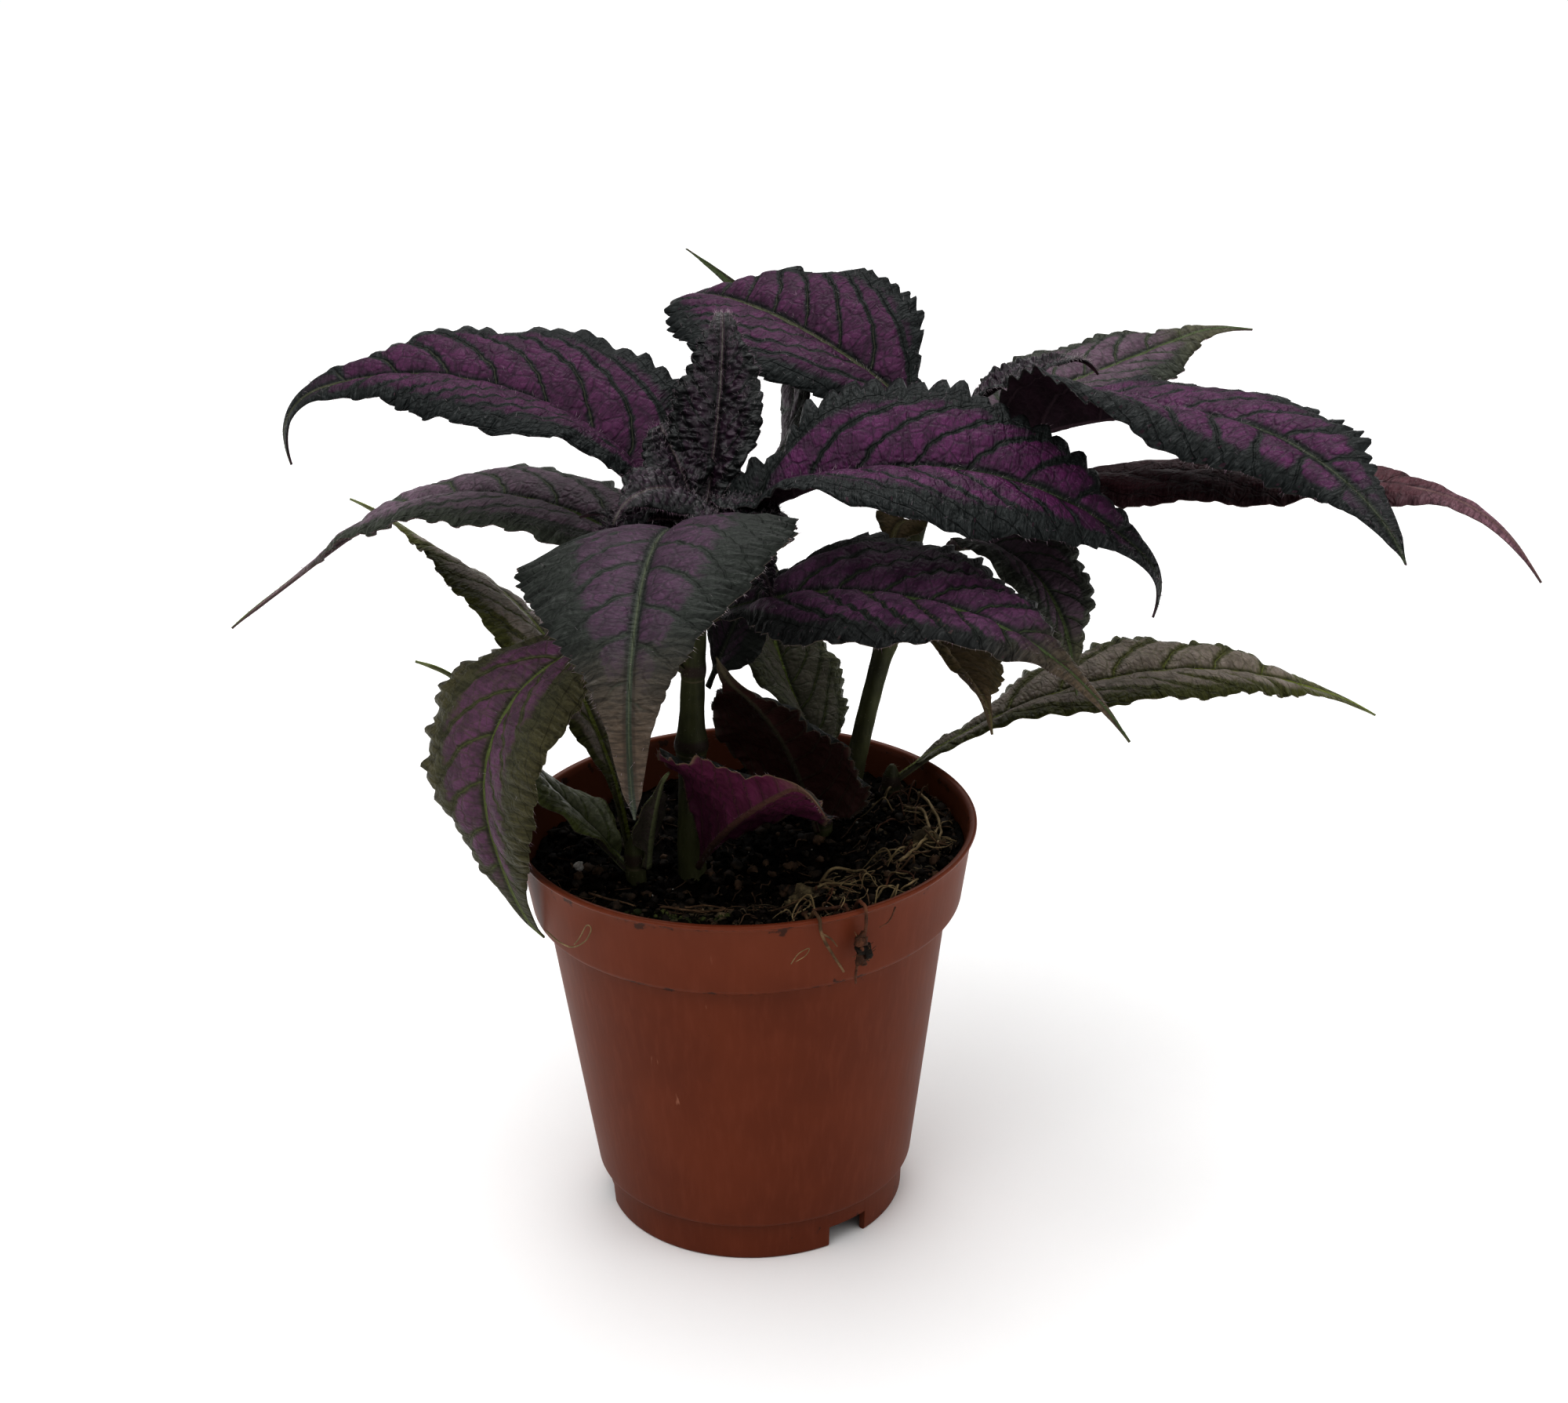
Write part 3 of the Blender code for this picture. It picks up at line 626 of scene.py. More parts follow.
# %% Threads
def thread(points, sides, wander, step=0.8, taper=0.6):
    """A root or fibre through (x, y, z, radius) points; it wanders a little and thins to its end."""
    path = smooth_path(points, step)
    shift = anywhere(90)
    for row in range(len(path)):
        sway = noise.noise_vector(Vector(path[row, :3]) * 0.16 + shift)
        path[row, :3] += np.array(sway) * wander
    share = np.linspace(0, 1, len(path))
    path[:, 3] *= (1 - (1 - taper) * share ** 1.5)

    def knobbly(turn, way):
        return 1 + 0.18 * np.sin(3 * turn + way[:, :1] * 2.1) * np.sin(way[:, 1:2] * 1.7)

    rings, _ = sweep(path, sides, knobbly)
    return rings.reshape(-1, 3), ring_faces(len(path), sides)


def fibre(x, y, length, radius, turn, rise=0.4):
    points = []
    for k in range(4):
        share = k / 3 - 0.5
        bow = chance.uniform(-0.16, 0.16) * length
        at = (x + length * share * math.cos(turn) - bow * math.sin(turn),
              y + length * share * math.sin(turn) + bow * math.cos(turn))
        points.append((*at, soil_height(*at) + radius + chance.uniform(0, rise), radius))
    return thread(points, 5, 0.2, 0.9)


def in_pot(margin):
    while True:
        x, y = chance.uniform(-57, 57), chance.uniform(-57, 57)
        if math.hypot(x, y) < soil_reach(math.atan2(y, x)) - margin:
            return x, y


# %% [markdown]
# Wet peat is nearly black, made darker still here as painted shade, and crumbs that dried are dark
# brown. The same noise that darkens the hollows, partly as painted shade, also roughens them, and a
# few pale flecks stand for sand and broken perlite.

# %% Soil finishes
def earth_finish(name, dark, light, fleck, amount, roughness=0.9, scale=260, gloss=0.18):
    finish, surface = new_finish(name, roughness, gloss)
    where = object_place(surface)
    mottle = speckle(where, scale, 4, 0.65)
    grain = speckle(where, scale * 6, 2, 0.6)
    # Darker in the hollows of the relief: partly the crumb's own tone, partly painted shade.
    colour = blend(smooth_step(mottle, 0.42, 0.66), dark, light)
    colour = blend(smooth_step(grain, 0.66, 0.76) * amount, colour, fleck)
    feed(surface.inputs["Base Color"], colour)
    feed(surface.inputs["Roughness"], mottle * -0.35 + roughness)
    raise_by(surface, mottle + grain * 0.5, 0.8, 0.5)
    return finish


# The peat is darker than wet peat alone, as painted shade from the rim and the leaves over it.
PEAT = earth_finish("dark_peat_fine", (0.0012, 0.0011, 0.0010), (0.010, 0.0072, 0.0048),
                    (0.085, 0.062, 0.04), 0.5, 0.95, 420, 0.05)
CRUMB = earth_finish("dry_crumb", (0.012, 0.0085, 0.006), (0.050, 0.032, 0.019), (0.13, 0.09, 0.06), 0.5)
FIBRE = earth_finish("brown_fibre", (0.050, 0.027, 0.014), (0.125, 0.072, 0.038),
                     (0.20, 0.13, 0.08), 0.4, 0.85, 200)
MOSS = earth_finish("green_moss", (0.020, 0.026, 0.006), (0.075, 0.085, 0.022),
                    (0.15, 0.15, 0.05), 0.5, 0.9, 300)
GRIT = earth_finish("pale_fleck", (0.36, 0.34, 0.29), (0.60, 0.58, 0.52), (0.72, 0.71, 0.68), 0.5, 0.9, 500)
LITTER = earth_finish("pale_litter", (0.060, 0.045, 0.026), (0.190, 0.150, 0.088),
                      (0.30, 0.26, 0.18), 0.5, 0.85, 300)
EARTH = [PEAT, CRUMB, FIBRE, MOSS, GRIT, LITTER]

# %% [markdown]
# What lies on the soil is strewn in layers, from the common to the rare: crumbs, fibres, litter along
# the front and the right of the rim, a few tufts of moss and some pale grit. All of it is one body,
# because the soil is one thing when it is lifted out of the pot.

# %% Lay the soil
MOSS_AT = [(-17, -43), (-20, -41), (-14, -44.5), (-7, -43), (-30, -40)]


def soil_plug():
    grid = soil_grid(64, 220)
    rows, count = grid.shape[:2]
    middle = [(0, 0, soil_height(0, 0))]
    faces = ring_faces(rows, count)[:-2]
    faces += [[count * rows, (k + 1) % count, k] for k in range(count)]
    faces.append([(rows - 1) * count + k for k in range(count)])
    return np.vstack([grid.reshape(-1, 3), middle]), [face[::-1] for face in faces], PEAT


def resting(x, y, radius, raised, squash, rough, level=1):
    """A crumb half sunk in the soil: its middle is raised by only a share of its radius."""
    return pebble(x, y, soil_height(x, y) + radius * raised, radius, squash, rough, level)


def build_soil():
    parts = [soil_plug()]
    for _ in range(1900):
        x, y = in_pot(1.6)
        radius = 0.35 + 1.25 * chance.random() ** 2.6
        stuff = chance.choices((PEAT, CRUMB, FIBRE), (6, 4, 0.7))[0]
        parts.append((*resting(x, y, radius, 0.45, 0.75, 0.75, 1 if radius < 0.9 else 2), stuff))
    for _ in range(190):
        x, y = in_pot(4.0)
        length, radius = chance.uniform(2.5, 9.0), chance.uniform(0.10, 0.24)
        parts.append((*fibre(x, y, length, radius, chance.uniform(0, 6.28)), FIBRE))
    for number in range(520):
        turn = math.radians(chance.uniform(-118, 42))
        out = soil_reach(turn) - 2.2 - 26 * chance.random() ** 1.6
        x, y = out * math.cos(turn), out * math.sin(turn)
        if number % 4:
            radius = 0.22 + 0.75 * chance.random() ** 2.2
            stuff = resting(x, y, radius, 0.5, 0.8, 0.8)
            parts.append((*stuff, chance.choice((CRUMB, FIBRE, LITTER, LITTER))))
        else:
            length, radius = chance.uniform(2.0, 7.0), chance.uniform(0.10, 0.22)
            straw = fibre(x, y, length, radius, chance.uniform(0, 6.28), 1.2)
            parts.append((*straw, chance.choice((FIBRE, LITTER, LITTER))))
    for x, y in MOSS_AT:
        for _ in range(26):
            at = x + chance.gauss(0, 1.7), y + chance.gauss(0, 1.1)
            tuft = pebble(*at, soil_height(*at) + 0.25, chance.uniform(0.3, 0.75), 1.0, 0.8, 1)
            parts.append((*tuft, MOSS))
    for _ in range(42):
        x, y = in_pot(3.0)
        parts.append((*resting(x, y, chance.uniform(0.18, 0.42), 0.5, 0.9, 0.5), GRIT))
    add_parts("soil_fine", parts, EARTH, "soil")


build_soil()

# %% [markdown]
# ## Roots and perlite
# Where the root ball touches the top of the soil, thin cream roots loop out and dive in again, and a
# few dried ones hang over the rim. The main roots follow the plain solids; finer ones branch from
# them. A clod with some crumbs sits in each tangle, and each of those is a ball knocked out of shape.

# %% Root finishes
CREAM = earth_finish("cream_root", (0.17, 0.125, 0.062), (0.36, 0.28, 0.155),
                     (0.075, 0.045, 0.025), 0.5, 0.72, 180)
TAN = earth_finish("tan_root", (0.085, 0.048, 0.024), (0.20, 0.125, 0.066),
                   (0.03, 0.017, 0.01), 0.6, 0.8, 220)
RUST = earth_finish("rust_root", (0.055, 0.024, 0.013), (0.150, 0.062, 0.033),
                    (0.22, 0.12, 0.07), 0.4, 0.8, 240)
CLOD = earth_finish("pale_clod", (0.055, 0.040, 0.020), (0.17, 0.135, 0.072),
                    (0.26, 0.22, 0.13), 0.6, 0.9, 330)


def on_ground(route, radius):
    """Lifts (x, y, lift) points onto the plain heap, so that a root lies on the soil."""
    return [(x, y, heap_height(x, y) + radius + 0.5 + lift, radius) for x, y, lift in route]


def creep(x, y, step, turn, margin):
    """One step over the soil in this direction, held back at the wall of the pot."""
    x, y = x + step * math.cos(turn), y + step * math.sin(turn)
    edge = max(1, math.hypot(x, y) / (soil_reach(math.atan2(y, x)) - margin))
    return x / edge, y / edge


def branches(routes, count, radius, reach):
    """Hair roots that start somewhere on the main roots and curl away over the soil."""
    found = []
    for _ in range(count):
        route = chance.choice(routes)
        k = chance.randrange(len(route) - 1)
        s, turn = chance.random(), chance.uniform(0, 6.28)
        x, y, lift = [route[k][i] + (route[k + 1][i] - route[k][i]) * s for i in range(3)]
        points, bend = [(x, y, lift)], chance.uniform(-1.1, 1.1)
        step = chance.uniform(0.5, 1.0) * reach / 3
        for j in range(3):
            turn += bend
            x, y = creep(x, y, step, turn, 2.5)
            points.append((x, y, lift * (1 - (j + 1) / 3) + chance.uniform(-0.2, 0.5)))
        found.append(thread(on_ground(points, radius * chance.uniform(0.6, 1.2)), 6, 0.9, 0.7, 0.4))
    return found


# %% [markdown]
# A main root is a few points, each given as x, y and how high it arches over the soil. Hair roots
# branch from it by chance. The whole tangle could be grown by chance, but then it would not lie where
# the plain solids do.

# %% Main roots
FRONT_ROOTS = [
    [(10, -35.6, 0.2), (16, -30, 0.8), (21, -27, 1.8), (29, -30, 0.3)],
    [(16.4, -20.8, 0.2), (21.6, -16, 2.2), (27, -19, 1.6), (31, -25.3, 0.2)],
    [(22, -38, 0.2), (20, -30, 1.4), (23, -23, 1.0), (19.5, -17.9, 1.2)],
]
RIGHT_ROOTS = [
    [(46.5, 22, 0.6), (49.5, 12, 1.2), (51, 2, 0.8), (49, -8, 0.2)],
    [(42, 16, 0.1), (47, 9, 1.4), (47.5, -2, 0.8), (43, -10, 0.1)],
    [(39, -22.4, 0.2), (43, -15, 1.4), (47.5, -6, 1.2), (50.5, 3, 0.6)],
]
FRONT_LEFT = [
    [(-22, -37, 0.0), (-14, -38.5, 0.6), (-6, -35, 1.0), (1, -36.5, 0.1)],
    [(-18, -36, 0.1), (-12, -33.5, 0.9), (-4.5, -32, 0.2)],
    [(-40, -24, 0.1), (-34, -30, 0.6), (-28, -36, 0.2)],
]


def build_tangle(name, routes, clod, reach, more=()):
    """A tangle of cream roots round a clod; there may be more roots beside it, dry and tan."""
    parts = [(*thread(on_ground(route, 0.46), 9, 1.1, 0.6, 0.6), CREAM) for route in routes]
    parts += [(*one, chance.choice((CREAM, CREAM, TAN))) for one in branches(routes, 34, 0.22, reach)]
    if more:
        parts += [(*thread(on_ground(route, 0.34), 7, 0.6, 0.6, 0.6), TAN) for route in more]
        parts += [(*one, TAN) for one in branches(more, 12, 0.17, 8)]
    x, y, radius = clod
    parts.append((*pebble(x, y, heap_height(x, y) + radius * 0.75, radius, 0.72, 0.75, 3), CLOD))
    for _ in range(9):
        at = x + chance.gauss(0, 2.4), y + chance.gauss(0, 2.0)
        parts.append((*pebble(*at, soil_height(*at) + 0.7, chance.uniform(0.5, 1.3), 0.8, 0.7), CLOD))
    add_parts(name + "_fine", parts, [CREAM, TAN, CLOD], name)


build_tangle("roots_front", FRONT_ROOTS, (13.5, -33, 3.0), 13, FRONT_LEFT)
build_tangle("roots_right", RIGHT_ROOTS, (47.3, -5, 2.8), 12)

# %% [markdown]
# Between the two tangles and all along the right of the rim run single hair roots. Each one rises
# out of the soil, loops over and dives in again. A few curled threads are stuck to the collar. Chance
# draws the loops, since on the real plant no two are alike, and only their density is worth keeping.

# %% Hair roots by chance
COLLAR_RADIUS = 60.9
COLLAR_THREADS = [
    (0.20, [(-146, 95.6), (-141, 94.9), (-136, 95.3), (-131.5, 98.5), (-129.2, 102.6), (-130.6, 103.2),
            (-133.2, 98.8), (-135, 96.4)]),
    (0.13, [(-80.5, 98.2), (-78.6, 100.8), (-76.2, 101.8), (-77.0, 100.0), (-79.4, 98.6)]),
]


def build_hair_roots():
    parts = []
    for _ in range(46):
        angle, turn = math.radians(chance.uniform(-78, 36)), chance.uniform(0, 6.28)
        out = soil_reach(angle) - 4.0 - 14 * chance.random() ** 1.5
        x, y = out * math.cos(angle), out * math.sin(angle)
        route, bend, step = [(x, y, -0.8)], chance.uniform(-1.3, 1.3), chance.uniform(1.4, 3.6)
        top = chance.uniform(0.6, 4.2)
        for lift in (top, top * 0.9, 0.4, -0.8):
            turn += bend
            x, y = creep(x, y, step, turn, 2.0)
            route.append((x, y, lift))
        loop = thread(on_ground(route, chance.uniform(0.16, 0.34)), 6, 0.8, 0.7, 0.6)
        parts.append((*loop, chance.choice((CREAM, CREAM, TAN, RUST))))
    for thin, route in COLLAR_THREADS:
        points = [(*at_angle(angle, COLLAR_RADIUS), z, thin) for angle, z in route]
        parts.append((*thread(points, 6, 0.1, 0.5, 0.7), CREAM))
    add_parts("hair_roots", parts, [CREAM, TAN, RUST], None)


build_hair_roots()

# %% [markdown]
# The dried roots leave the soil, cross the lip and cling to the collar, and a scrap of bark with
# loose fibres hangs between them. They are drawn by angle round the pot and by height, the way one
# would lay a thread over a rim.

# %% Roots over the rim
def round_pot(points, radius):
    """From (angle, distance from the axis, height) to (x, y, z, radius)."""
    return [(*at_angle(angle, out), z, radius) for angle, out, z in points]


def in_soil(angle, out):
    return angle, out, heap_height(*at_angle(angle, out)) + 1.3


def over_lip(angle):
    return [in_soil(angle, 50), in_soil(angle, 54), (angle, 57.3, 109.6), (angle, 59.3, 110.1)]


def rim_roots():
    """The roots as (points, thickness, sides, wander, step, taper, finish)."""
    left = over_lip(-74)
    left += [(-73.6, 61.0, 109.2), (-73.2, 61.2, 105.4), (-70.7, 60.9, 99.0), (-67.8, 60.9, 93.6)]
    fork = [(-73.2, 61.2, 105.4), (-71.0, 61.1, 103.5), (-69.5, 61.0, 101.0)]
    right = over_lip(-62)
    right += [(-62, 61.0, 109.2), (-62.4, 61.2, 103.4), (-64.6, 60.9, 93.0), (-64.8, 60.9, 89.6)]
    link = [in_soil(angle, 50.5) for angle in (-75, -71, -66, -61)]
    loop = [(-53.6, 60.8, 107.0), (-55.5, 61.0, 104.0), (-58.3, 61.0, 103.0)]
    return [(left, 0.50, 8, 0.15, 0.6, 0.6, TAN), (fork, 0.30, 7, 0.1, 0.5, 0.5, TAN),
            (right, 0.52, 8, 0.15, 0.6, 0.55, RUST), (link, 0.55, 8, 0.3, 0.6, 0.9, RUST),
            (loop, 0.22, 6, 0.1, 0.5, 0.6, RUST)]


def build_rim_roots():
    parts = []
    for points, thick, *how, finish in rim_roots():
        parts.append((*thread(round_pot(points, thick), *how), finish))
    scrap = -63
    for k in range(9):
        turn = math.radians(scrap) + chance.uniform(-0.018, 0.018)
        x, y = 61.4 * math.cos(turn), 61.4 * math.sin(turn)
        bark = pebble(x, y, 95.2 + 0.85 * k, chance.uniform(0.8, 1.5), 1.2, 0.9)
        parts.append((*bark, chance.choice((RUST, CRUMB))))
    for _ in range(12):
        turn = scrap + chance.uniform(-1.6, 1.6)
        z, drop = chance.uniform(95, 102), chance.uniform(-3.5, 3.5)
        middle, end = turn + chance.uniform(-1.6, 1.6), turn + chance.uniform(-2.6, 2.6)
        points = [(turn, 61.4, z), (middle, 61.8, z + drop / 2), (end, 61.2, z + drop)]
        parts.append((*thread(round_pot(points, 0.17), 5, 0.1, 0.6, 0.4), chance.choice((RUST, TAN))))
    add_parts("roots_over_rim_fine", parts, [RUST, TAN, CRUMB], "roots_over_rim")


build_rim_roots()

# %% [markdown]
# One white grain of perlite lies on the soil at the left. It is a ball knocked out of shape like the
# crumbs, with more faces, because it is pale and so its outline shows.

# %% Perlite grain
CHALK = earth_finish("perlite_fine", (0.62, 0.60, 0.55), (0.82, 0.81, 0.78),
                     (0.45, 0.43, 0.38), 0.4, 0.9, 900)
GRAIN_AT, GRAIN_RADIUS = (-43.5, -4.0), 1.25
grain = pebble(*GRAIN_AT, heap_height(*GRAIN_AT) + GRAIN_RADIUS, GRAIN_RADIUS, 0.85, 0.7, 3)
add_parts("perlite_grain_fine", [(*grain, CHALK)], [CHALK], "perlite_grain")

# %% [markdown]
# ## The stems
# The stems are soft and a little four-angled, thickened like a knuckle at each pair of leaves, with
# a pale scar where an old leaf fell. They are swept along the same paths as the plain solids. Fine
# ridges run up them, and the skin turns from green to purple brown near the knuckles.

# %% Stems in numbers
# Places along each stem, as x, y, height and radius.
STEMS = {
    "stem_left": [
        (-14, -4, 76, 3.4), (-14, -4, 101, 3.7), (-13.8, -3.8, 112, 3.4), (-13.4, -3.4, 124, 3.3),
        (-13.2, -3.1, 130, 4.1), (-13.0, -3.0, 134, 3.9), (-12.7, -2.8, 140, 3.2), (-11.4, -1.6, 160, 3.0),
        (-10.2, -0.8, 176, 2.8), (-9.2, -0.1, 189, 2.6), (-9.0, 0.0, 194, 1.9), (-8.9, 0.1, 197, 0.6),
    ],
    "stem_right": [
        (28, 24.2, 76, 2.7), (28, 24.2, 101, 2.9), (31.6, 24.9, 120, 2.6), (36.4, 25.9, 139, 2.6),
        (38.8, 26.4, 147, 3.2), (40.2, 26.8, 152, 2.8), (46.0, 28.2, 174, 2.4), (50.6, 29.3, 190, 2.4),
        (54.4, 29.9, 203, 2.2), (55.8, 30.0, 208, 1.5), (56.4, 30.0, 210, 0.5),
    ],
    "stem_low_right": [
        (39.5, 29.8, 88, 2.1), (39.5, 29.8, 102, 2.4), (39.8, 30.0, 107, 1.8), (39.9, 30.1, 109, 0.6),
    ],
    "stem_low_left": [
        (-28.5, -10, 76, 2.3), (-28.5, -10, 101, 2.7), (-28.5, -9.9, 107, 2.2), (-28.6, -9.8, 110, 0.7),
    ],
    "stem_low_middle": [(21, 18, 76, 1.9), (21, 18, 99, 2.2), (20.9, 18, 102, 1.7), (20.8, 18, 104, 0.6)],
}
# Heights of the knuckles, each of which has a scar just below it.
KNUCKLES = {"stem_left": (132, 152, 170, 186), "stem_right": (149, 165, 188, 204),
            "stem_low_right": (104.5,), "stem_low_left": (103.5,), "stem_low_middle": (99.5,)}

# %% [markdown]
# Stems, petioles and young leaves carry short pale hairs that light up against the dark skin. Hair
# curves would not leave the scene as a mesh, so each hair is a tiny spike. They are noted down while
# the plant grows and become bodies at the end.

# %% Notebook of hairs
hair_notes = {"leaves": [], "stems": []}


def note_hair(kind, at, towards, length, radius=0.045):
    hair_notes[kind].append((np.array(at, float), np.array(towards, float), length, radius))


def scatter_direction(amount):
    return np.array([chance.gauss(0, amount) for _ in range(3)])


# %% [markdown]
# The skin of a stem is green with fine streaks. It turns brown near a knuckle and pale on a scar, and
# both are read from a small map on the stem, because they have to sit where its body swells.

# %% Stem finish
def stem_finish():
    finish, surface = new_finish("stem_green_fine", 0.5, 0.25)
    where = object_place(surface)
    streak = speckle(stretched(where, (1.0, 1.0, 0.18)), 620, 3, 0.6)
    cloud = speckle(where, 60, 3, 0.6)
    colour = blend(smooth_step(cloud, 0.36, 0.62), (0.042, 0.043, 0.017), (0.078, 0.084, 0.028))
    colour = blend(smooth_step(streak, 0.45, 0.7) * 0.5, colour, (0.110, 0.115, 0.048))
    knot = add_node(finish.node_tree, "UVMap", "UV", {}, uv_map="knot")
    near = (cloud - 0.5) * 0.5 + axis(knot, "X")
    colour = blend(smooth_step(near, 0.25, 0.85) * 0.8, colour, (0.050, 0.026, 0.024))
    colour = blend(smooth_step(axis(knot, "Y"), 0.5, 0.9), colour, (0.130, 0.110, 0.060))
    spot = smooth_step(speckle(where, 700, 2, 0.5), 0.68, 0.74)
    feed(surface.inputs["Base Color"], blend(spot * 0.6, colour, (0.14, 0.15, 0.08)))
    raise_by(surface, streak + spot * 0.4, 0.6, 0.25)
    return finish


# %% [markdown]
# Each stem is swept along its path. The same two values, how near a knuckle and how near a scar, give
# both the swelling of the body and the map that its finish reads. Maps are written for each corner of
# each face, which is how Blender keeps them.

# %% Stems as bodies
def add_map(data, title, corner, first, second, shift=0):
    """Writes one pair of map coordinates per corner from values per point."""
    layer = data.uv_layers.new(name=title)
    pair = np.stack([first.ravel()[corner] + shift, second.ravel()[corner]], -1)
    layer.data.foreach_set("uv", pair.ravel())


def corners_of(data):
    """The number of the point at each corner of each face."""
    corner = np.empty(len(data.loops), np.int32)
    data.loops.foreach_get("vertex_index", corner)
    return corner


def build_stems():
    """Sweeps each stem, swollen at its knuckles and pinched at the scars, and notes its hairs."""
    finish, sides = stem_finish(), 28
    for name, points in STEMS.items():
        path = smooth_path(points, 0.6)
        height = path[:, 2:3]
        lift = sum(np.exp(-((height - k) / 1.9) ** 2) for k in KNUCKLES[name])
        scar = sum(np.exp(-((height - k + 2.6) / 0.45) ** 2) for k in KNUCKLES[name])

        def swell(turn, way):
            square = 0.035 * np.cos(4 * turn + 0.4) + 0.012 * np.cos(17 * turn + way[:, 2:3] * 0.05)
            return 0.97 + square + 0.07 * lift - 0.035 * scar + 0.012 * np.sin(way[:, 2:3] * 0.9 + 2 * turn)

        rings, away = sweep(path, sides, swell)
        data = mesh_of(name + "_fine", rings.reshape(-1, 3), ring_faces(len(path), sides))
        add_map(data, "knot", corners_of(data) // sides, lift, scar)
        add_piece(name + "_fine", data, [finish], name)
        for row in range(len(path)):
            if path[row, 2] > 99:
                for _ in range(4 if lift[row] > 0.3 else 2):
                    column = chance.randrange(sides)
                    towards = away[row, column] + scatter_direction(0.35)
                    note_hair("stems", rings[row, column], towards, chance.uniform(0.5, 1.3))
    print("stems:", len(STEMS), "hairs noted:", len(hair_notes["stems"]))


build_stems()

# %% [markdown]
# ## Leaf finish
# The upper side of a leaf is dark green along the midrib, along every side vein and in a broad
# border, and violet in the quilts between them. Each fine leaf below carries three sets of map
# coordinates: its own flat outline at one scale, its share of half width and length, and its
# place between two side veins. The finish reads these, so that colour and form follow the same
# veins. The other way would be a painted picture, which would not fit leaves of other sizes.

# %% Leaf map coordinates
FLAT_SCALE, VEIN_SCALE = 0.005, 0.04


def vein_lines(surface):
    """The flat map, the shares of half width and length, the distance to the nearest side vein as 0 on
    it and 1 halfway, and the distance to the midrib in millimetres."""
    flat, share, veins = [add_node(surface.id_data, "UVMap", "UV", {}, uv_map=title)
                          for title in ("flat", "share", "veins")]
    wander = (speckle(flat, 22, 2) - 0.5) * 0.34
    part = (axis(veins, "X").math("DIVIDE", VEIN_SCALE) + wander).math("FRACT")
    gap = 1.0 - (part * 2.0 - 1.0).math("ABSOLUTE")
    return flat, axis(share, "X"), axis(share, "Y"), gap, axis(veins, "Y").math("DIVIDE", VEIN_SCALE)


# %% [markdown]
# The recipe works from below upward: where the violet patches lie, the dark ground around them, the
# veins over both, and last the height of the wrinkles. Every limit is made ragged with fine noise,
# since no patch on a real leaf has a clean edge.

# %% Upper side of a leaf
# The middle grey is the colour of the sheen painted on the crests of the border's wrinkles.
BLACK, SHEEN_GREY, PALE_RIB = (0.0, 0.0, 0.0), (0.6, 0.6, 0.6), (0.24, 0.27, 0.15)


def upper_finish(name, ground, border, violet, bright, rib, tip, amount, roughness=0.42,
                 reach=0.80, crinkle=0.6, gloss=0.15, bare=0.12, fade=0.88):
    """Colours in order: beside the veins, border, patch, paler blotches and painted highlight, midrib, leaf
    tip.
    """
    finish, surface = new_finish(name, roughness, gloss)
    flat, share, along, gap, across = vein_lines(surface)
    grain = speckle(flat, 150, 4, 0.7)
    blotch = speckle(flat, 34, 3, 0.6)
    ladder = speckle(stretched(flat, (0.20, 1.0, 1)), 170, 3, 0.65)
    jitter = grain * 0.45 + ladder * 0.55 - 0.5
    edge = share + (blotch - 0.5 + jitter) * 0.30
    net = cells(flat, 95)
    branches = cells(stretched(flat, (0.8, 1.15, 1)), 44)

    # The patches stop at the side veins, the border, the midrib, the base and the tip.
    inside = smooth_step(jitter * 0.45 + gap - (share.math("POWER", 2.0) * 0.50 + 0.03), 0.0, 0.20)
    inside = inside * smooth_step(edge, reach, reach - 0.14)
    inside = inside * smooth_step(blotch * 2.0 + across, 1.6, 3.4)
    inside = inside * smooth_step(jitter * 0.1 + along, bare - 0.09, bare)
    inside = inside * smooth_step(jitter * 0.1 + along, fade, fade - 0.14) * amount
    network = smooth_step(jitter * 0.05 + branches, 0.085, 0.02)
    network = smooth_step(net, 0.05, 0.0).math("MAXIMUM", network)
    inside = inside * (1.0 - network * (blotch * 0.75))
    # The paler violet follows blotches and partly the crests of the wrinkles, where it is painted
    # highlight.
    tint = blend(smooth_step(jitter * 0.8 + blotch, 0.36, 0.66), violet, bright)

    # The ground gets painted shade in its wrinkles, and the border a painted grey sheen on their crests.
    base = blend(smooth_step(edge, 0.62, 0.92), ground, border)
    base = blend(smooth_step(jitter * 0.12 + along, 0.66, 0.93), base, tip)
    dark = blend(0.65, base, BLACK)
    # Painted shade in the wrinkles of the ground.
    base = blend(smooth_step(ladder, 0.56, 0.40) * 0.6, base, dark)
    # Painted grey sheen on the crests of the wrinkles in the border.
    crest_sheen = smooth_step(ladder, 0.55, 0.72) * smooth_step(edge, 0.55, 0.95)
    base = blend(crest_sheen * 0.55, base, blend(0.12, base, SHEEN_GREY))

    # Side veins, painted shade in the groove beside the midrib, and the midrib itself lie over both.
    colour = blend(inside, base, tint)
    line = smooth_step(gap, 0.055, 0.015) * smooth_step(share, 0.72, 0.30)
    colour = blend(line * 0.55, colour, rib)
    # Painted shade in the groove beside the midrib.
    colour = blend(smooth_step(across, 1.7, 1.1) * 0.55, colour, dark)
    ridge = tuple(0.85 * own + 0.15 * pale for own, pale in zip(rib, PALE_RIB))
    midrib = blend(smooth_step(across, 0.35, 0.10), rib, ridge)
    feed(surface.inputs["Base Color"], blend(smooth_step(across, 0.84, 0.58), colour, midrib))
    height = smooth_step(net, 0.0, 0.30) * 0.35 + grain * 0.35 + ladder * 1.1
    height = height - smooth_step(gap, 0.12, 0.0) * 0.7 - smooth_step(branches, 0.10, 0.0) * 0.3
    raise_by(surface, height * (smooth_step(edge, 0.5, 0.95) * 0.9 + 1.0), crinkle, 0.5)
    return finish


# %% [markdown]
# The underside is duller, wine red or olive, and its veins stand up from it as pale cords. It gets
# its own finish, because from the side and from below the whole crown shows mostly undersides.

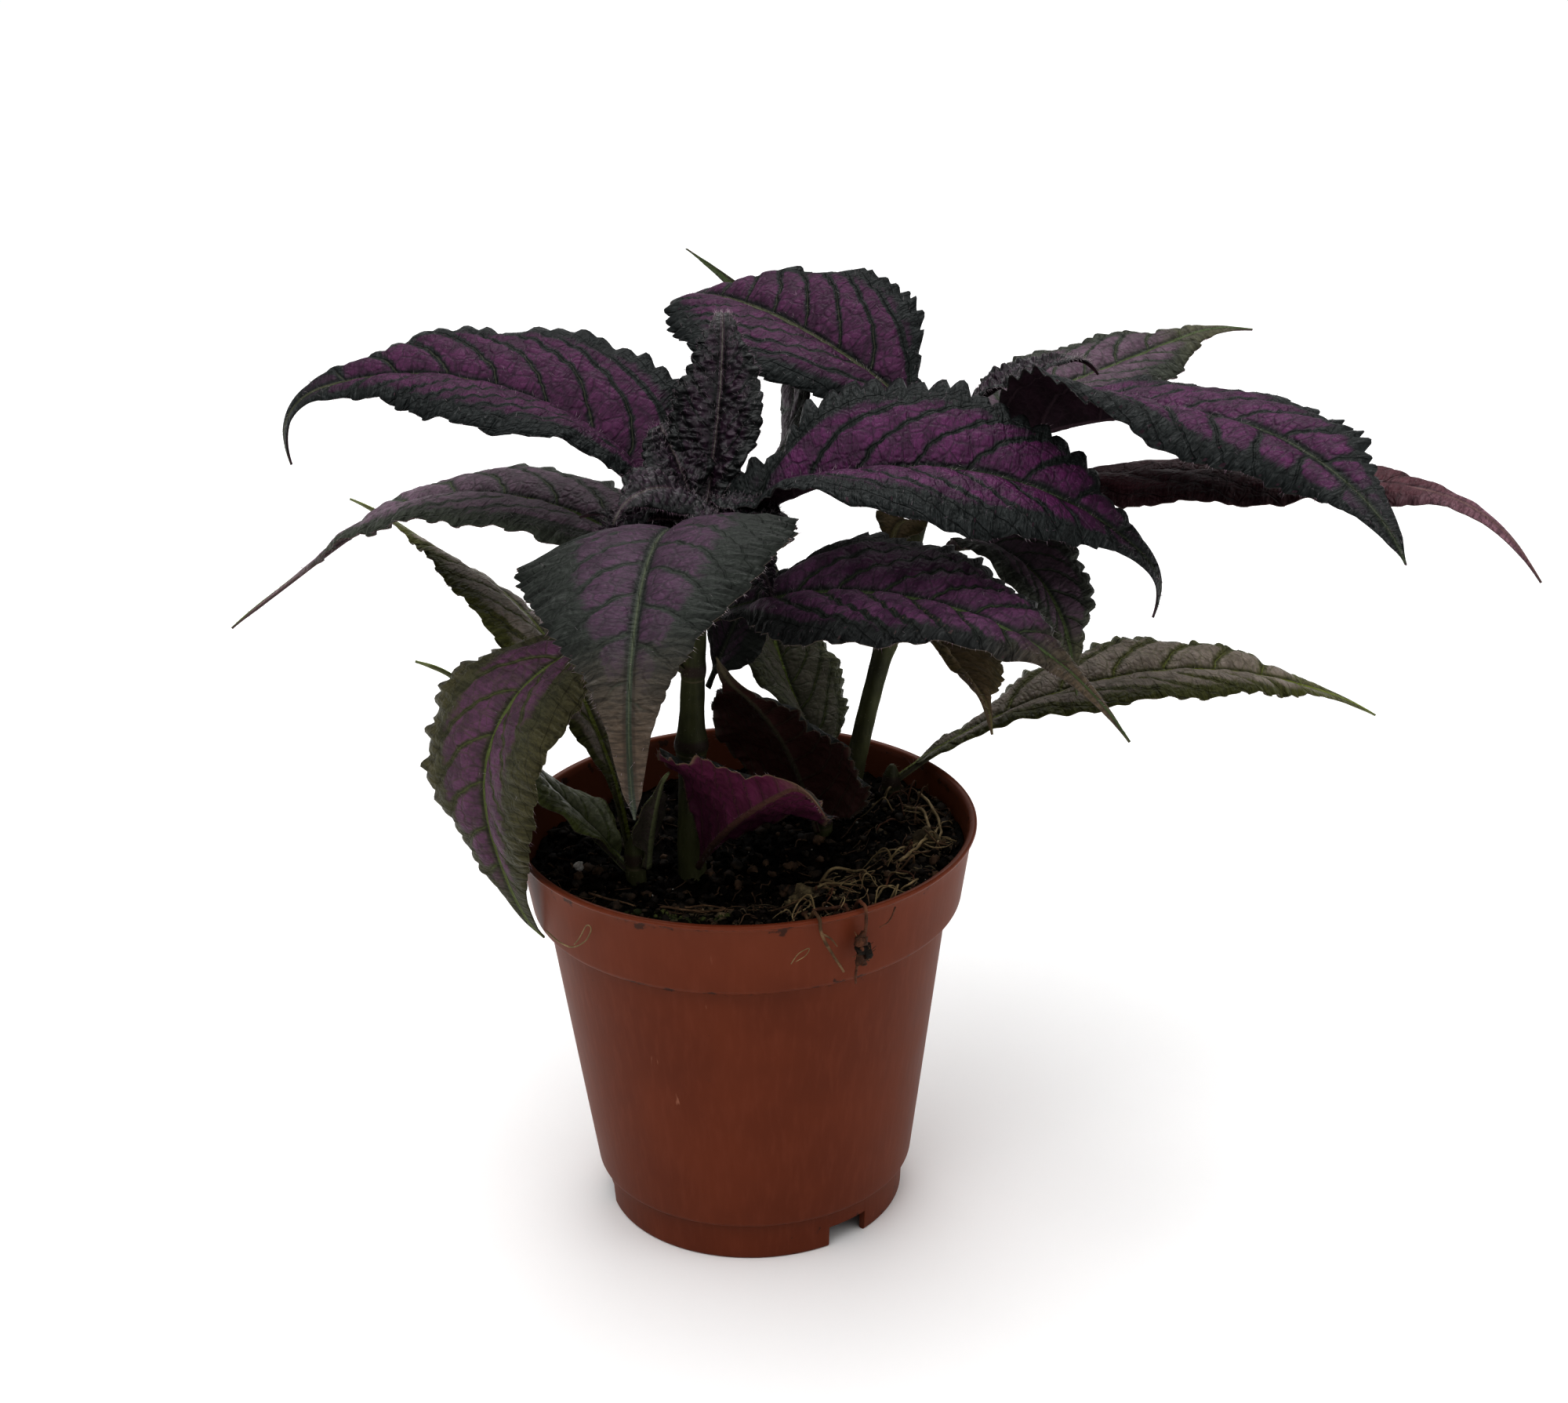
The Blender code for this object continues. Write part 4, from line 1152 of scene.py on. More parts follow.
# %% Underside of a leaf
def under_finish(name, base, patch, rib, tip):
    finish, surface = new_finish(name, 0.55, 0.15)
    flat, share, along, gap, across = vein_lines(surface)
    grain = speckle(flat, 160, 4, 0.65)
    blotch = speckle(flat, 28, 3, 0.6)
    ladder = speckle(stretched(flat, (0.22, 1.0, 1)), 150, 3, 0.6)
    net = cells(flat, 95)
    line = smooth_step(gap, 0.10, 0.03)
    colour = blend(smooth_step(blotch, 0.35, 0.65), base, patch)
    dark = blend(0.55, colour, BLACK)
    colour = blend(grain * 0.35, colour, dark)
    colour = blend(smooth_step(gap, 0.34, 0.14) * 0.45, colour, dark)
    colour = blend(smooth_step(net, 0.07, 0.0) * 0.25, colour, rib)
    colour = blend(line * 0.5, colour, rib)
    colour = blend(smooth_step(grain * 0.08 + along, 0.80, 0.98), colour, tip)
    colour = blend(smooth_step(share, 0.95, 1.0), colour, tip)
    feed(surface.inputs["Base Color"], blend(smooth_step(across, 0.85, 0.55), colour, rib))
    raise_by(surface, line * 0.9 - net * 1.2 + ladder * 0.9 + grain * 0.3, 0.6, 0.5)
    return finish


# %% [markdown]
# Leaves of one plant differ with age. The young ones in the crown are almost black, full grown ones
# are the brightest violet, and lower ones pass through plum, dusk and mauve to olive green, with a
# paler midrib and a tan tip. One recipe with thirteen sets of colours keeps them a family.

# %% Ages of a leaf
# Six colours in thousandths, then amount, roughness, reach, crinkle, gloss, bare and fade.
UPPER_LOOKS = {
    "violet": [(16, 20, 19), (19, 23, 23), (50, 16, 42), (96, 28, 79), (62, 66, 40), (20, 24, 24),
               0.97, 0.40, 0.82, 0.9, 0.11],
    "deep_violet": [(16, 20, 19), (19, 23, 23), (54, 15, 46), (108, 25, 90), (16, 22, 14),
                    (22, 25, 25), 0.97, 0.38, 0.74, 1.0, 0.15, 0.20],
    "plum": [(22, 27, 22), (19, 21, 21), (62, 22, 55), (125, 48, 108), (50, 72, 26), (120, 88, 58),
             0.95, 0.42, 0.84, 0.8, 0.15, 0.12, 0.80],
    "dusky": [(30, 35, 30), (33, 38, 33), (55, 28, 50), (95, 44, 86), (38, 46, 32), (126, 92, 68),
              0.85, 0.45, 0.62, 0.7, 0.15, 0.12, 0.80],
    "mauve": [(85, 92, 78), (76, 86, 66), (165, 108, 145), (270, 175, 240), (105, 155, 38),
              (215, 130, 150), 0.85, 0.42, 0.84, 0.8],
    "ashen": [(46, 52, 42), (52, 58, 43), (88, 52, 76), (150, 88, 130), (64, 86, 34), (100, 96, 54),
              0.85, 0.44, 0.74, 0.75, 0.15, 0.12, 0.84],
    "wine": [(52, 15, 19), (42, 13, 16), (78, 24, 32), (125, 48, 60), (150, 80, 86),
             (250, 135, 165), 0.7, 0.42, 0.84, 1.0],
    # Its pale silver patches are the leaf's silvery sheen, painted into the colour.
    "silver": [(90, 90, 28), (76, 80, 20), (190, 158, 136), (290, 245, 215), (150, 178, 24),
               (108, 112, 24), 0.85, 0.34, 0.86, 1.0],
    "fading": [(66, 64, 34), (76, 69, 31), (82, 42, 68), (140, 58, 118), (95, 118, 36),
               (60, 60, 30), 0.88, 0.47, 0.64, 0.7],
    "olive": [(60, 68, 30), (70, 76, 30), (85, 78, 56), (130, 118, 94), (135, 175, 36),
              (70, 76, 26), 0.75, 0.38, 0.82, 0.8],
    # Its pale patches are stripes of silvery sheen, painted into the colour.
    "green": [(110, 135, 40), (125, 150, 42), (200, 215, 130), (300, 320, 210), (180, 220, 60),
              (120, 145, 40), 0.7, 0.32, 0.88, 0.35],
    "young": [(4.5, 5, 6), (7, 9, 9), (10, 4.5, 10), (40, 12, 34), (36, 20, 30), (16, 16, 16),
              0.7, 0.30, 0.85, 0.45, 0.35],
    "dry": [(108, 78, 30), (84, 64, 22), (126, 88, 46), (170, 120, 68), (125, 105, 40),
            (150, 104, 56), 0.5, 0.75],
}
# Four colours in thousandths: between the veins, in patches, veins, tip.
UNDER_LOOKS = {
    "violet": [(22, 9, 15), (40, 15, 27), (80, 46, 58), (30, 28, 26)],
    "mauve": [(48, 24, 28), (78, 40, 48), (120, 80, 82), (120, 85, 75)],
    "dusky": [(50, 28, 35), (75, 43, 52), (105, 98, 58), (100, 80, 65)],
    "olive": [(85, 72, 52), (110, 82, 75), (165, 180, 90), (100, 95, 50)],
    "young": [(14, 6, 10), (28, 11, 19), (60, 30, 37), (30, 22, 26)],
    "maroon": [(78, 26, 22), (118, 40, 36), (100, 82, 50), (85, 65, 45)],
    "magenta": [(105, 16, 50), (160, 28, 84), (105, 50, 38), (180, 120, 80)],
    "dry": [(90, 65, 40), (125, 90, 58), (150, 115, 75), (130, 92, 60)],
}


def looks(table, recipe, ending):
    """One finish for each row of a table of colours."""
    found = {}
    for kind, row in table.items():
        colours = [tuple(part / 1000 for part in value) for value in row if isinstance(value, tuple)]
        found[kind] = recipe(kind + ending, *colours, *row[len(colours):])
    return found


UPPER = looks(UPPER_LOOKS, upper_finish, "_leaf")
UNDER = looks(UNDER_LOOKS, under_finish, "_leaf_under")
print("leaf finishes:", len(UPPER) + len(UNDER))

# %% [markdown]
# ## How a leaf grows
# Each leaf leaves its stem at a height and a heading, climbs, droops over its own length and curls at
# the tip. Those few numbers are the same ones that shaped the simple solids, so that the fine leaves
# lie on them. Tracing each leaf by hand would be the other way, and would need hundreds of points.

# %% Leaves in numbers
FIELDS = ("stem", "height", "heading", "sweep", "rise", "droop", "curl", "length", "width",
          "roll", "twist", "fold", "cup", "early", "curl_at", "upper", "under")
LEAVES_ON = {
    "stem_left": {
        "leaf_left_upper": (185, 147, 41, 56, 88, 71, 132, 71, -3, 17, 25, 29, 0.87, 0.79,
                            "violet", "violet"),
        "leaf_right_upper": (185, -11, 14, 44, 105, 47, 136, 63, -6, -23, 25, 36, 0.99, 0.86,
                             "deep_violet", "violet"),
        "leaf_front": (185, -101, 10, 38, 85, 78, 150, 66, -8, -2, 17, -4, 0.88, 0.70, "dusky", "dusky"),
        "leaf_left_middle": (172, 142, 30, 36, 102, -24, 153, 51, -4, 4, 20, 1, 0.86, 0.69,
                             "mauve", "mauve"),
        "leaf_right_middle": (166, -28, -9, 29, 61, 15, 125, 59, -21, 38, 20, 7, 0.97, 0.55,
                              "plum", "dusky"),
        "leaf_crown_upright": (191, 67, 28, 63, 22, 107, 66, 25, 6, -1, 25, 11, 0.84, 0.69,
                               "young", "young"),
        "leaf_crown_young": (194, -116, -20, 60, 90, 26, 38, 21, 20, 4, 8, 33, 1.0, 0.70, "young", "young"),
        "leaf_crown_left": (178.5, 152, 24, 52, 50, 30, 31, 16, 0, 0, 22, 30, 0.85, 0.70, "young", "young"),
        "leaf_back_tall": (180, 48, 87, 25, 21, -14, 154, 23, 59, 23, 18, -14, 0.89, 0.67,
                           "ashen", "mauve"),
        "leaf_under_front": (149, 10, 30, 66, 10, -8, 36, 24, -11, -11, 16, -5, 0.88, 0.69,
                             "dusky", "maroon"),
        "leaf_over_rim": (154, 201, 27, 44, 222, -47, 124, 58, -12, 20, 25, -12, 1.04, 0.58,
                          "fading", "olive"),
        "leaf_magenta_back": (100, -68, 22, 48, 18, 73, 72, 53, 36, 2, 37, 40, 0.92, 0.78,
                              "dusky", "magenta"),
    },
    "stem_right": {
        "leaf_top": (203, 151, -46, 38, 68, 94, 122, 63, 13, -7, 23, 13, 0.88, 0.88, "violet", "violet"),
        "leaf_right_back": (204, 54, -40, -7, -26, 28, 108, 47, 3, -8, 20, 2, 1.22, 0.76, "ashen", "mauve"),
        "leaf_right_high": (190, -6, -85, 34, 64, -18, 164, 58, 38, -74, 15, 52, 0.86, 0.62,
                            "deep_violet", "violet"),
        "leaf_right_far": (186, -4, -28, 10, 16, 47, 161, 50, 13, -14, 15, -11, 1.05, 0.71,
                           "wine", "mauve"),
        "leaf_right_hanging": (168, -29, -28, 44, 146, -31, 70, 34, 9, -8, 34, 2, 1.14, 0.83,
                               "ashen", "dusky"),
        "leaf_right_tip": (161, -76, 9, -14, -11, 64, 62, 38, 24, 20, 30, 2, 1.06, 0.73, "dry", "dry"),
        "leaf_right_young": (208, 6, 0, 36, 34, 60, 40, 15, 0, 0, 25, 20, 0.95, 0.70, "young", "young"),
        "leaf_right_dry": (179, 238, 30, 30, 60, 60, 24, 14, 0, 30, 30, 20, 0.90, 0.60, "dry", "dry"),
        "leaf_olive_back": (104, 137, -55, 48, 4, 20, 84, 38, -22, -9, 32, 15, 0.95, 0.70,
                            "olive", "olive"),
    },
    "stem_low_right": {
        "leaf_right_low": (106.1, 8, 21, 34.9, 79, -9, 156, 42, 15, -34, 24, -2, 1.04, 0.62,
                           "silver", "olive"),
    },
    "stem_low_left": {
        "leaf_left_long": (106, 116, 20, 69, 109, -42, 152, 36, -22, -24, 3, 22, 1.07, 0.50,
                           "silver", "olive"),
        "leaf_left_low": (101, 149, 39, 38, -27, 44, 76, 32, -13, -21, 2, 40, 0.68, 0.73, "green", "olive"),
        "leaf_low_green": (104, -40, 10, 82, 12, 20, 28, 14, 0, 0, 25, 10, 0.95, 0.70, "green", "olive"),
    },
    "stem_low_middle": {
        "leaf_maroon_back": (99, -129, 11, 74, 45, -30, 80, 52, 8, -6, 22, -10, 0.76, 0.76,
                             "dusky", "maroon"),
    },
}
LEAVES = {name: (stem, *row) for stem, rows in LEAVES_ON.items() for name, row in rows.items()}
print("leaves:", len(LEAVES), "on stems:", len(LEAVES_ON))

# %% [markdown]
# Six small young leaves crowd the foot of the left crown. They have no solids of their own, being too
# close together for that, and they grow by the same rule. All leaves share one outline, widest before
# the middle and drawn out to a long tip, and an exponent moves the widest place along each leaf.

# %% Small leaves and the outline of a blade
BUD_ROWS = {
    "bud_front": (194, -75, 30, 34, 95, 40, 31, 22, 10, 0, 20, 30),
    "bud_left": (192, -160, -25, 22, 80, 40, 33, 22, -8, 0, 20, 30),
    "bud_right": (193, -28, 8, 30, 60, 20, 25, 20, 8, 0, 22, 30),
    "bud_low": (190, -110, 22, 10, 110, 20, 30, 24, 0, 0, 18, 30),
    "bud_back": (194, 118, 0, 56, 30, 60, 30, 20, 0, 0, 25, 30),
    "bud_between": (190, -48, 20, 6, 90, 30, 30, 24, 0, 0, 18, 30),
}
BUDS = {name: ("stem_left", *row, 0.90, 0.70, "young", "young") for name, row in BUD_ROWS.items()}
# Some blades run down their stalk as a wing; this is its width as a share of the blade's.
WINGED = {
    "leaf_left_upper": 0.33, "leaf_right_upper": 0.42, "leaf_front": 0.30, "leaf_crown_upright": 0.42,
    "leaf_crown_young": 0.40, "leaf_right_middle": 0.22, "leaf_top": 0.25, "leaf_right_high": 0.24,
    "leaf_right_low": 0.27,
}
# Share of the length from the foot, and the width there as a share of the greatest width.
HALF_WIDTH = np.array([
    (0.00, 0.05), (0.05, 0.07), (0.10, 0.16), (0.16, 0.40), (0.24, 0.74), (0.33, 0.95), (0.42, 1.00),
    (0.52, 0.93), (0.62, 0.74), (0.71, 0.50), (0.79, 0.28), (0.86, 0.145), (0.93, 0.075), (1.00, 0.03),
])
print("small leaves:", len(BUDS), "winged blades:", len(WINGED))

# %% [markdown]
# The midrib is the path of the leaf. It is walked in short steps whose heading and climb change from
# foot to tip, and the forward, side and up directions are kept at each of its points. The blade is
# laid along them later, so a leaf that curls or twists needs nothing more.

# %% Midrib of a leaf
def on_stem(stem, height):
    path = np.array(STEMS[stem], float)
    return [np.interp(height, path[:, 2], path[:, i]) for i in (0, 1, 3)]


def lay_midrib(leaf, rows, root_mm):
    """Points and directions along the midrib, with two more rows that run back into the stem."""
    def angles(t):
        climb = leaf.rise - leaf.droop * t - leaf.curl * ease((t - leaf.curl_at) / (1 - leaf.curl_at))
        return np.radians(climb), np.radians(leaf.heading + leaf.sweep * t)

    def ahead(climb, turn):
        return np.stack([np.cos(climb) * np.cos(turn), np.cos(climb) * np.sin(turn), np.sin(climb)], -1)

    x, y, radius = on_stem(leaf.stem, leaf.height)
    turn = math.radians(leaf.heading)
    off = radius + 0.65 + abs(math.sin(math.radians(leaf.rise)))
    foot = np.array([x + off * math.cos(turn), y + off * math.sin(turn), leaf.height])
    t = np.linspace(0, 1, rows + 1)
    steps = np.cumsum(ahead(*angles((t[1:] + t[:-1]) / 2)), 0) * leaf.length / rows
    back = np.array([root_mm, root_mm * 0.5])[:, None] * ahead(*angles(np.zeros(1)))
    leaf.path = np.vstack([foot - back, foot + np.vstack([np.zeros(3), steps])])
    leaf.t = np.concatenate([[-root_mm / leaf.length, -root_mm * 0.5 / leaf.length], t])
    climb, turn = angles(np.maximum(leaf.t, 0))
    leaf.forward = ahead(climb, turn)
    side = np.stack([np.sin(turn), -np.cos(turn), 0 * turn], -1)
    up = np.cross(side, leaf.forward)
    lean = np.radians(leaf.roll + leaf.twist * np.maximum(leaf.t, 0))[:, None]
    leaf.side = side * np.cos(lean) + up * np.sin(lean)
    leaf.up = up * np.cos(lean) - side * np.sin(lean)


# %% [markdown]
# ## The blade itself
# Across each half the blade is sampled closely beside the midrib, where the groove and the keel are,
# and evenly from there to the margin. The quilts bulge between the side veins, the margin is waved
# and cut into teeth that point to the tip, and the underside carries the keel and the vein cords.

# %% Blade numbers
NEAR_RIB = np.array([0.0, 0.35, 0.75, 1.2, 1.8])
OUTER_COLUMNS = 9
TOOTH_PITCH, TOOTH_DEPTH = 4.8, 2.2
ARCH = math.radians(40.0)
HALF_THICK = 0.20
VEIN_STEP = 0.098  # distance between side veins as a share of the leaf's length
USUAL_WIDTH = 45  # narrower leaves have flatter quilts and smaller teeth

# For each age: finer teeth, ruffle of the margin, quilt height, tries for a hair in each row.
BLADES = {
    "violet": (1.0, 1.3, 1.1, 4), "deep_violet": (1.0, 1.8, 1.1, 8), "plum": (0.85, 1.3, 1.6, 3),
    "dusky": (0.62, 1.1, 0.8, 1), "ashen": (0.66, 1.1, 0.8, 2), "mauve": (0.75, 1.0, 0.8, 3),
    "wine": (1.0, 1.0, 0.9, 1), "silver": (0.68, 1.0, 1.0, 1), "fading": (0.75, 1.1, 0.8, 1),
    "olive": (0.68, 1.0, 0.8, 1), "green": (1.0, 0.5, 0.7, 1), "young": (0.70, 1.4, 0.45, 4),
    "dry": (1.0, 1.0, 0.6, 1),
}
# Depth of the teeth and stoutness of the keel on leaves that differ from the rest.
USUAL_TOOTH = 0.88
TOOTH_SHARE = {"leaf_maroon_back": 0.3, "leaf_right_tip": 0.3, "leaf_left_low": 0.3, "leaf_olive_back": 0.4,
               "leaf_left_long": 0.7, "leaf_magenta_back": 0.7, "leaf_front": 0.75, "leaf_over_rim": 0.85}
KEEL_SHARE = {"magenta": 0.55, "maroon": 0.60}
print("side veins along a leaf:", round(1 / VEIN_STEP))


def vein_phase(leaf):
    """Whole numbers lie on the side veins, which leave the midrib and bend toward the tip."""
    reach = leaf.width / 2
    bend = 0.30 * np.abs(leaf.across) + 1.45 * leaf.across ** 2 / reach
    return (leaf.along - bend) / (VEIN_STEP * leaf.length) + 0.16 * np.sign(leaf.across)


def lumps(across, along, seed, pitch):
    """A smooth random field over the leaf, about -0.5 to 0.5."""
    flat = zip(across.ravel() / pitch, along.ravel() / pitch)
    return np.array([noise.noise(Vector((a, b, seed))) for a, b in flat]).reshape(across.shape)


def blisters(across, along, seed, pitch):
    """Rounded cells with grooves between them, 0 in a groove and about 1 on a crown."""
    found = []
    for a, b in zip(across.ravel() / pitch, along.ravel() / pitch):
        near = noise.voronoi(Vector((a, b, seed)))[0]
        found.append(min(1.0, (near[1] - near[0]) * 1.6))
    return np.array(found).reshape(across.shape)


# %% [markdown]
# Next comes the plan of one leaf, flat as if pressed in a book: how wide it is at each row, and where
# the side veins cross it. The stalk is the same grid, only drawn in.

# %% Shape of one leaf
def shape_leaf(name, seed):
    """The plan of a leaf: its midrib, and a grid of places across and along the flat blade."""
    leaf = SimpleNamespace(name=name, seed=seed, **dict(zip(FIELDS, LEAVES.get(name) or BUDS[name])))
    leaf.finer, leaf.ruffle, leaf.quilt, leaf.hairs = BLADES[leaf.upper]
    leaf.teeth = max(5, round(leaf.length / (TOOTH_PITCH * leaf.finer)))
    leaf.scale = min(1.0, leaf.width / USUAL_WIDTH)
    dense = 2 if leaf.upper == "young" else 1
    lay_midrib(leaf, leaf.teeth * 5 * dense, 2.4)
    t = leaf.t
    spread = np.interp(np.clip(t, 0, 1) ** leaf.early, HALF_WIDTH[:, 0], HALF_WIDTH[:, 1])
    spread = np.maximum(spread, WINGED.get(name, 0) * ease((t + 0.01) / 0.10) * (t < 0.4))
    grown = ease((spread - 0.1) * 3)
    drawn_in = 0.5 * TOOTH_DEPTH * leaf.finer * leaf.scale * grown
    pointed = ease((np.clip(t, 0, 1) - 0.93) / 0.07)
    half = np.maximum(spread * leaf.width / 2 - drawn_in, 0.45) * (1 - 0.72 * pointed)
    half = np.where(t < 0.03, 1.25 - 12 * np.clip(t, -0.02, 0.03), half)
    half = np.where(t < 0.08, np.maximum(half, 0.9), half)
    near = NEAR_RIB[None, :] * np.minimum(1, half / 3.0)[:, None]
    even = np.linspace(0, 1, OUTER_COLUMNS * dense + 1)[None, 1:]
    one_side = np.hstack([near, near[:, -1:] + (half[:, None] - near[:, -1:]) * even])
    leaf.across = np.hstack([-one_side[:, :0:-1], one_side])
    leaf.along = (t * leaf.length)[:, None] + 0 * leaf.across
    leaf.half, leaf.grown = half[:, None], grown[:, None]
    leaf.u = np.abs(leaf.across) / leaf.half
    leaf.phase = vein_phase(leaf)
    leaf.gap = 1 - np.abs(2 * (leaf.phase - np.floor(leaf.phase)) - 1)
    return leaf


# %% [markdown]
# The relief is the height of every quilt, wave and groove over the plain blade, and how far each tooth
# grows sideways. It could be sculpted by hand, but a formula that reads the same veins as the finish
# keeps colour and form together on every leaf.

# %% Relief of a leaf
def toward_margin(leaf, start, power):
    """0 up to this share of the half width, and 1 at the margin."""
    return np.clip((leaf.u - start) / (1 - start), 0, 1) ** power


def teeth_of(leaf):
    """The profile of each tooth, 0 to 1 and steeper on the side to the tip, and its chance size."""
    sign, t = np.sign(leaf.across), leaf.t[:, None]
    part = (t * leaf.teeth + 0.37 * (sign > 0)) % 1.0
    rising = np.sin(np.pi * part / 1.44) ** 0.8
    tooth = np.where(part < 0.72, rising, np.cos(np.pi * (part - 0.72) / 0.56) ** 0.8)
    size = 1 + 1.1 * lumps(0 * t + leaf.seed + sign, t * leaf.teeth + 0 * sign, leaf.seed + 3, 1.0)
    return tooth, size


def relief(leaf):
    """Height of the quilts over the plain blade, and the sideways growth of the teeth."""
    sign, t = np.sign(leaf.across), leaf.t[:, None]
    across, along, u, grown = leaf.across, leaf.along, leaf.u, leaf.grown
    inner = np.clip(np.abs(across) / 5.0, 0, 1) * np.clip((1 - u) * 3.2, 0, 1) ** 0.7 * grown
    quilt = leaf.quilt * (1 - np.exp(-(leaf.gap / 0.30) ** 2)) * inner * (0.4 + 0.6 * leaf.scale)
    fine = 0.40 * lumps(across, along, leaf.seed, 4.2) + 0.16 * lumps(across, along, leaf.seed + 9, 2.0)
    if leaf.upper == "young":
        fine = fine * 0.6 + 1.35 * blisters(across * 0.75, along * 1.25, leaf.seed, 2.5)
    wave_at = toward_margin(leaf, 0.35, 1.3)
    slow = np.sin(2 * np.pi * 5.0 * t + sign * 0.9)
    quick = np.sin(2 * np.pi * leaf.teeth * t / 2.3 + sign * 1.7 + leaf.seed)
    wave = leaf.scale * grown * (slow * wave_at + 0.55 * quick * wave_at ** 3)
    tooth, size = teeth_of(leaf)
    depth = TOOTH_DEPTH * TOOTH_SHARE.get(leaf.name, USUAL_TOOTH) * leaf.finer
    out = depth * leaf.scale * grown * tooth * size * toward_margin(leaf, 0.72, 1.6)
    ruffle = leaf.ruffle * leaf.scale * grown * (tooth - 0.5) * size * toward_margin(leaf, 0.55, 2)
    groove = -0.38 * np.exp(-(across / 1.5) ** 2) + 0.22 * np.exp(-(across / 0.55) ** 2)
    return quilt + fine * inner ** 0.5 + wave + ruffle + groove * grown, out


# %% [markdown]
# The two skins of a leaf are grids that share one outline, joined around the rim, so each leaf is a
# closed body. The map coordinates are written per corner. The upper skin uses the left half of the
# flat map and the underside the right half, so they don't lie over each other.

# %% Skins, rim and maps
def leaf_points(leaf):
    """Points of the upper skin and of the underside, over the arched half blades."""
    half, u, t = leaf.half, leaf.u, np.clip(leaf.t, 0, 1)
    fold = np.radians(leaf.fold + leaf.cup * (1 - ease(leaf.t / 0.55)))[:, None]
    slope, sign = fold - ARCH * u, np.sign(leaf.across)
    height, out = relief(leaf)
    flat = sign * (half * (np.sin(fold) - np.sin(slope)) / ARCH + out * np.cos(slope))
    above = half * (np.cos(slope) - np.cos(fold)) / ARCH + out * np.sin(slope)
    stout = ((1.0 - 0.55 * t) * (1 - 0.65 * ease((leaf.t - 0.93) / 0.07)))[:, None]
    stout = stout * KEEL_SHARE.get(leaf.under, 1.0)
    keel_wide = np.minimum(half, 1.05 * stout + 0.20)
    rounded_rib = stout * np.sqrt(np.clip(1 - (leaf.across / keel_wide) ** 2, 0, 1))
    cords = 0.22 * np.exp(-(leaf.gap / 0.12) ** 2) * leaf.grown * (u < 0.85)
    thin = HALF_THICK * (1 - 0.35 * u)

    def skin(lift):
        x = flat - lift * sign * np.sin(slope)
        z = above + lift * np.cos(slope)
        return leaf.path[:, None] + x[..., None] * leaf.side[:, None] + z[..., None] * leaf.up[:, None]

    top = skin(height + thin + 0.45 * rounded_rib * (1 - leaf.grown))
    return top, skin(height - thin - 1.15 * rounded_rib - cords)


def leaf_mesh(leaf, top, bottom):
    rows, columns = top.shape[:2]
    index = np.arange(rows * columns).reshape(rows, columns)
    a, b, c, d = index[:-1, :-1], index[:-1, 1:], index[1:, 1:], index[1:, :-1]
    upper = np.stack([a, b, c, d], -1).reshape(-1, 4)
    lower = upper[:, ::-1] + rows * columns
    ring = np.concatenate([index[0, :], index[1:, -1], index[-1, -2::-1], index[-2:0:-1, 0]])
    following = np.roll(ring, -1)
    rim = np.stack([ring, ring + rows * columns, following + rows * columns, following], -1)
    kinds = [0] * len(upper) + [1] * (len(lower) + len(rim))
    points = np.concatenate([top.reshape(-1, 3), bottom.reshape(-1, 3)])
    data = mesh_of(leaf.name + "_fine", points, np.concatenate([upper, lower, rim]).tolist(), kinds)
    corner = corners_of(data) % (rows * columns)
    share_along = np.clip(leaf.t, 0, 1)[:, None] + 0 * leaf.u
    add_map(data, "flat", corner, 0.25 + leaf.across * FLAT_SCALE, 0.05 + leaf.along * FLAT_SCALE,
            0.5 * np.repeat(kinds, 4))
    add_map(data, "share", corner, leaf.u, share_along)
    add_map(data, "veins", corner, (leaf.phase + 4) * VEIN_SCALE, np.abs(leaf.across) * VEIN_SCALE)
    data.update()
    return data


# %% [markdown]
# Hairs stand along the margin, beneath the midrib and over the upper skin. Each points away from the
# leaf where it stands, with a little chance in it. Young leaves and stalks have the most.

# %% Hairs of a leaf
def outward(here, inner):
    way = here - inner
    return way / (np.linalg.norm(way) + 1e-9)


def hairs_on_leaf(leaf, top, bottom):
    """Fringe at the margin, down on the petiole, and a few hairs on the skins."""
    rows, columns = top.shape[:2]
    young = leaf.upper == "young"
    for row in range(2, rows - 3):
        wide, low = leaf.grown[row, 0] > 0.2, leaf.t[row]
        bend = 0.5 * leaf.forward[row]
        for edge, inner in ((0, 2), (columns - 1, columns - 3)):
            if wide and chance.random() < (0.9 if young else 0.55):
                away = outward(top[row, edge], top[row, inner])
                note_hair("leaves", top[row, edge], away + bend + scatter_direction(0.3),
                          chance.uniform(0.7, 1.8), 0.055)
        if chance.random() < (0.9 if low < 0.3 else 0.25):
            column = columns // 2 + chance.choice((-2, -1, 0, 1, 2))
            away = outward(bottom[row, column], top[row, column])
            note_hair("leaves", bottom[row, column], away + scatter_direction(0.6),
                      chance.uniform(0.5, 1.2))
        for _ in range(leaf.hairs):
            column = chance.randrange(1, columns - 1)
            if chance.random() < (0.9 if young else 0.6 if low < 0.5 else 0.2):
                away = outward(top[row, column], bottom[row, column])
                note_hair("leaves", top[row, column], away + bend + scatter_direction(0.35),
                          chance.uniform(0.7, 1.9), 0.042 if young else 0.055)


# %% [markdown]
# With the whole recipe ready, the leaves grow one after another. Each takes the place of its plain
# solid. The six small ones at the foot of the crown have no solid, so they are only added.


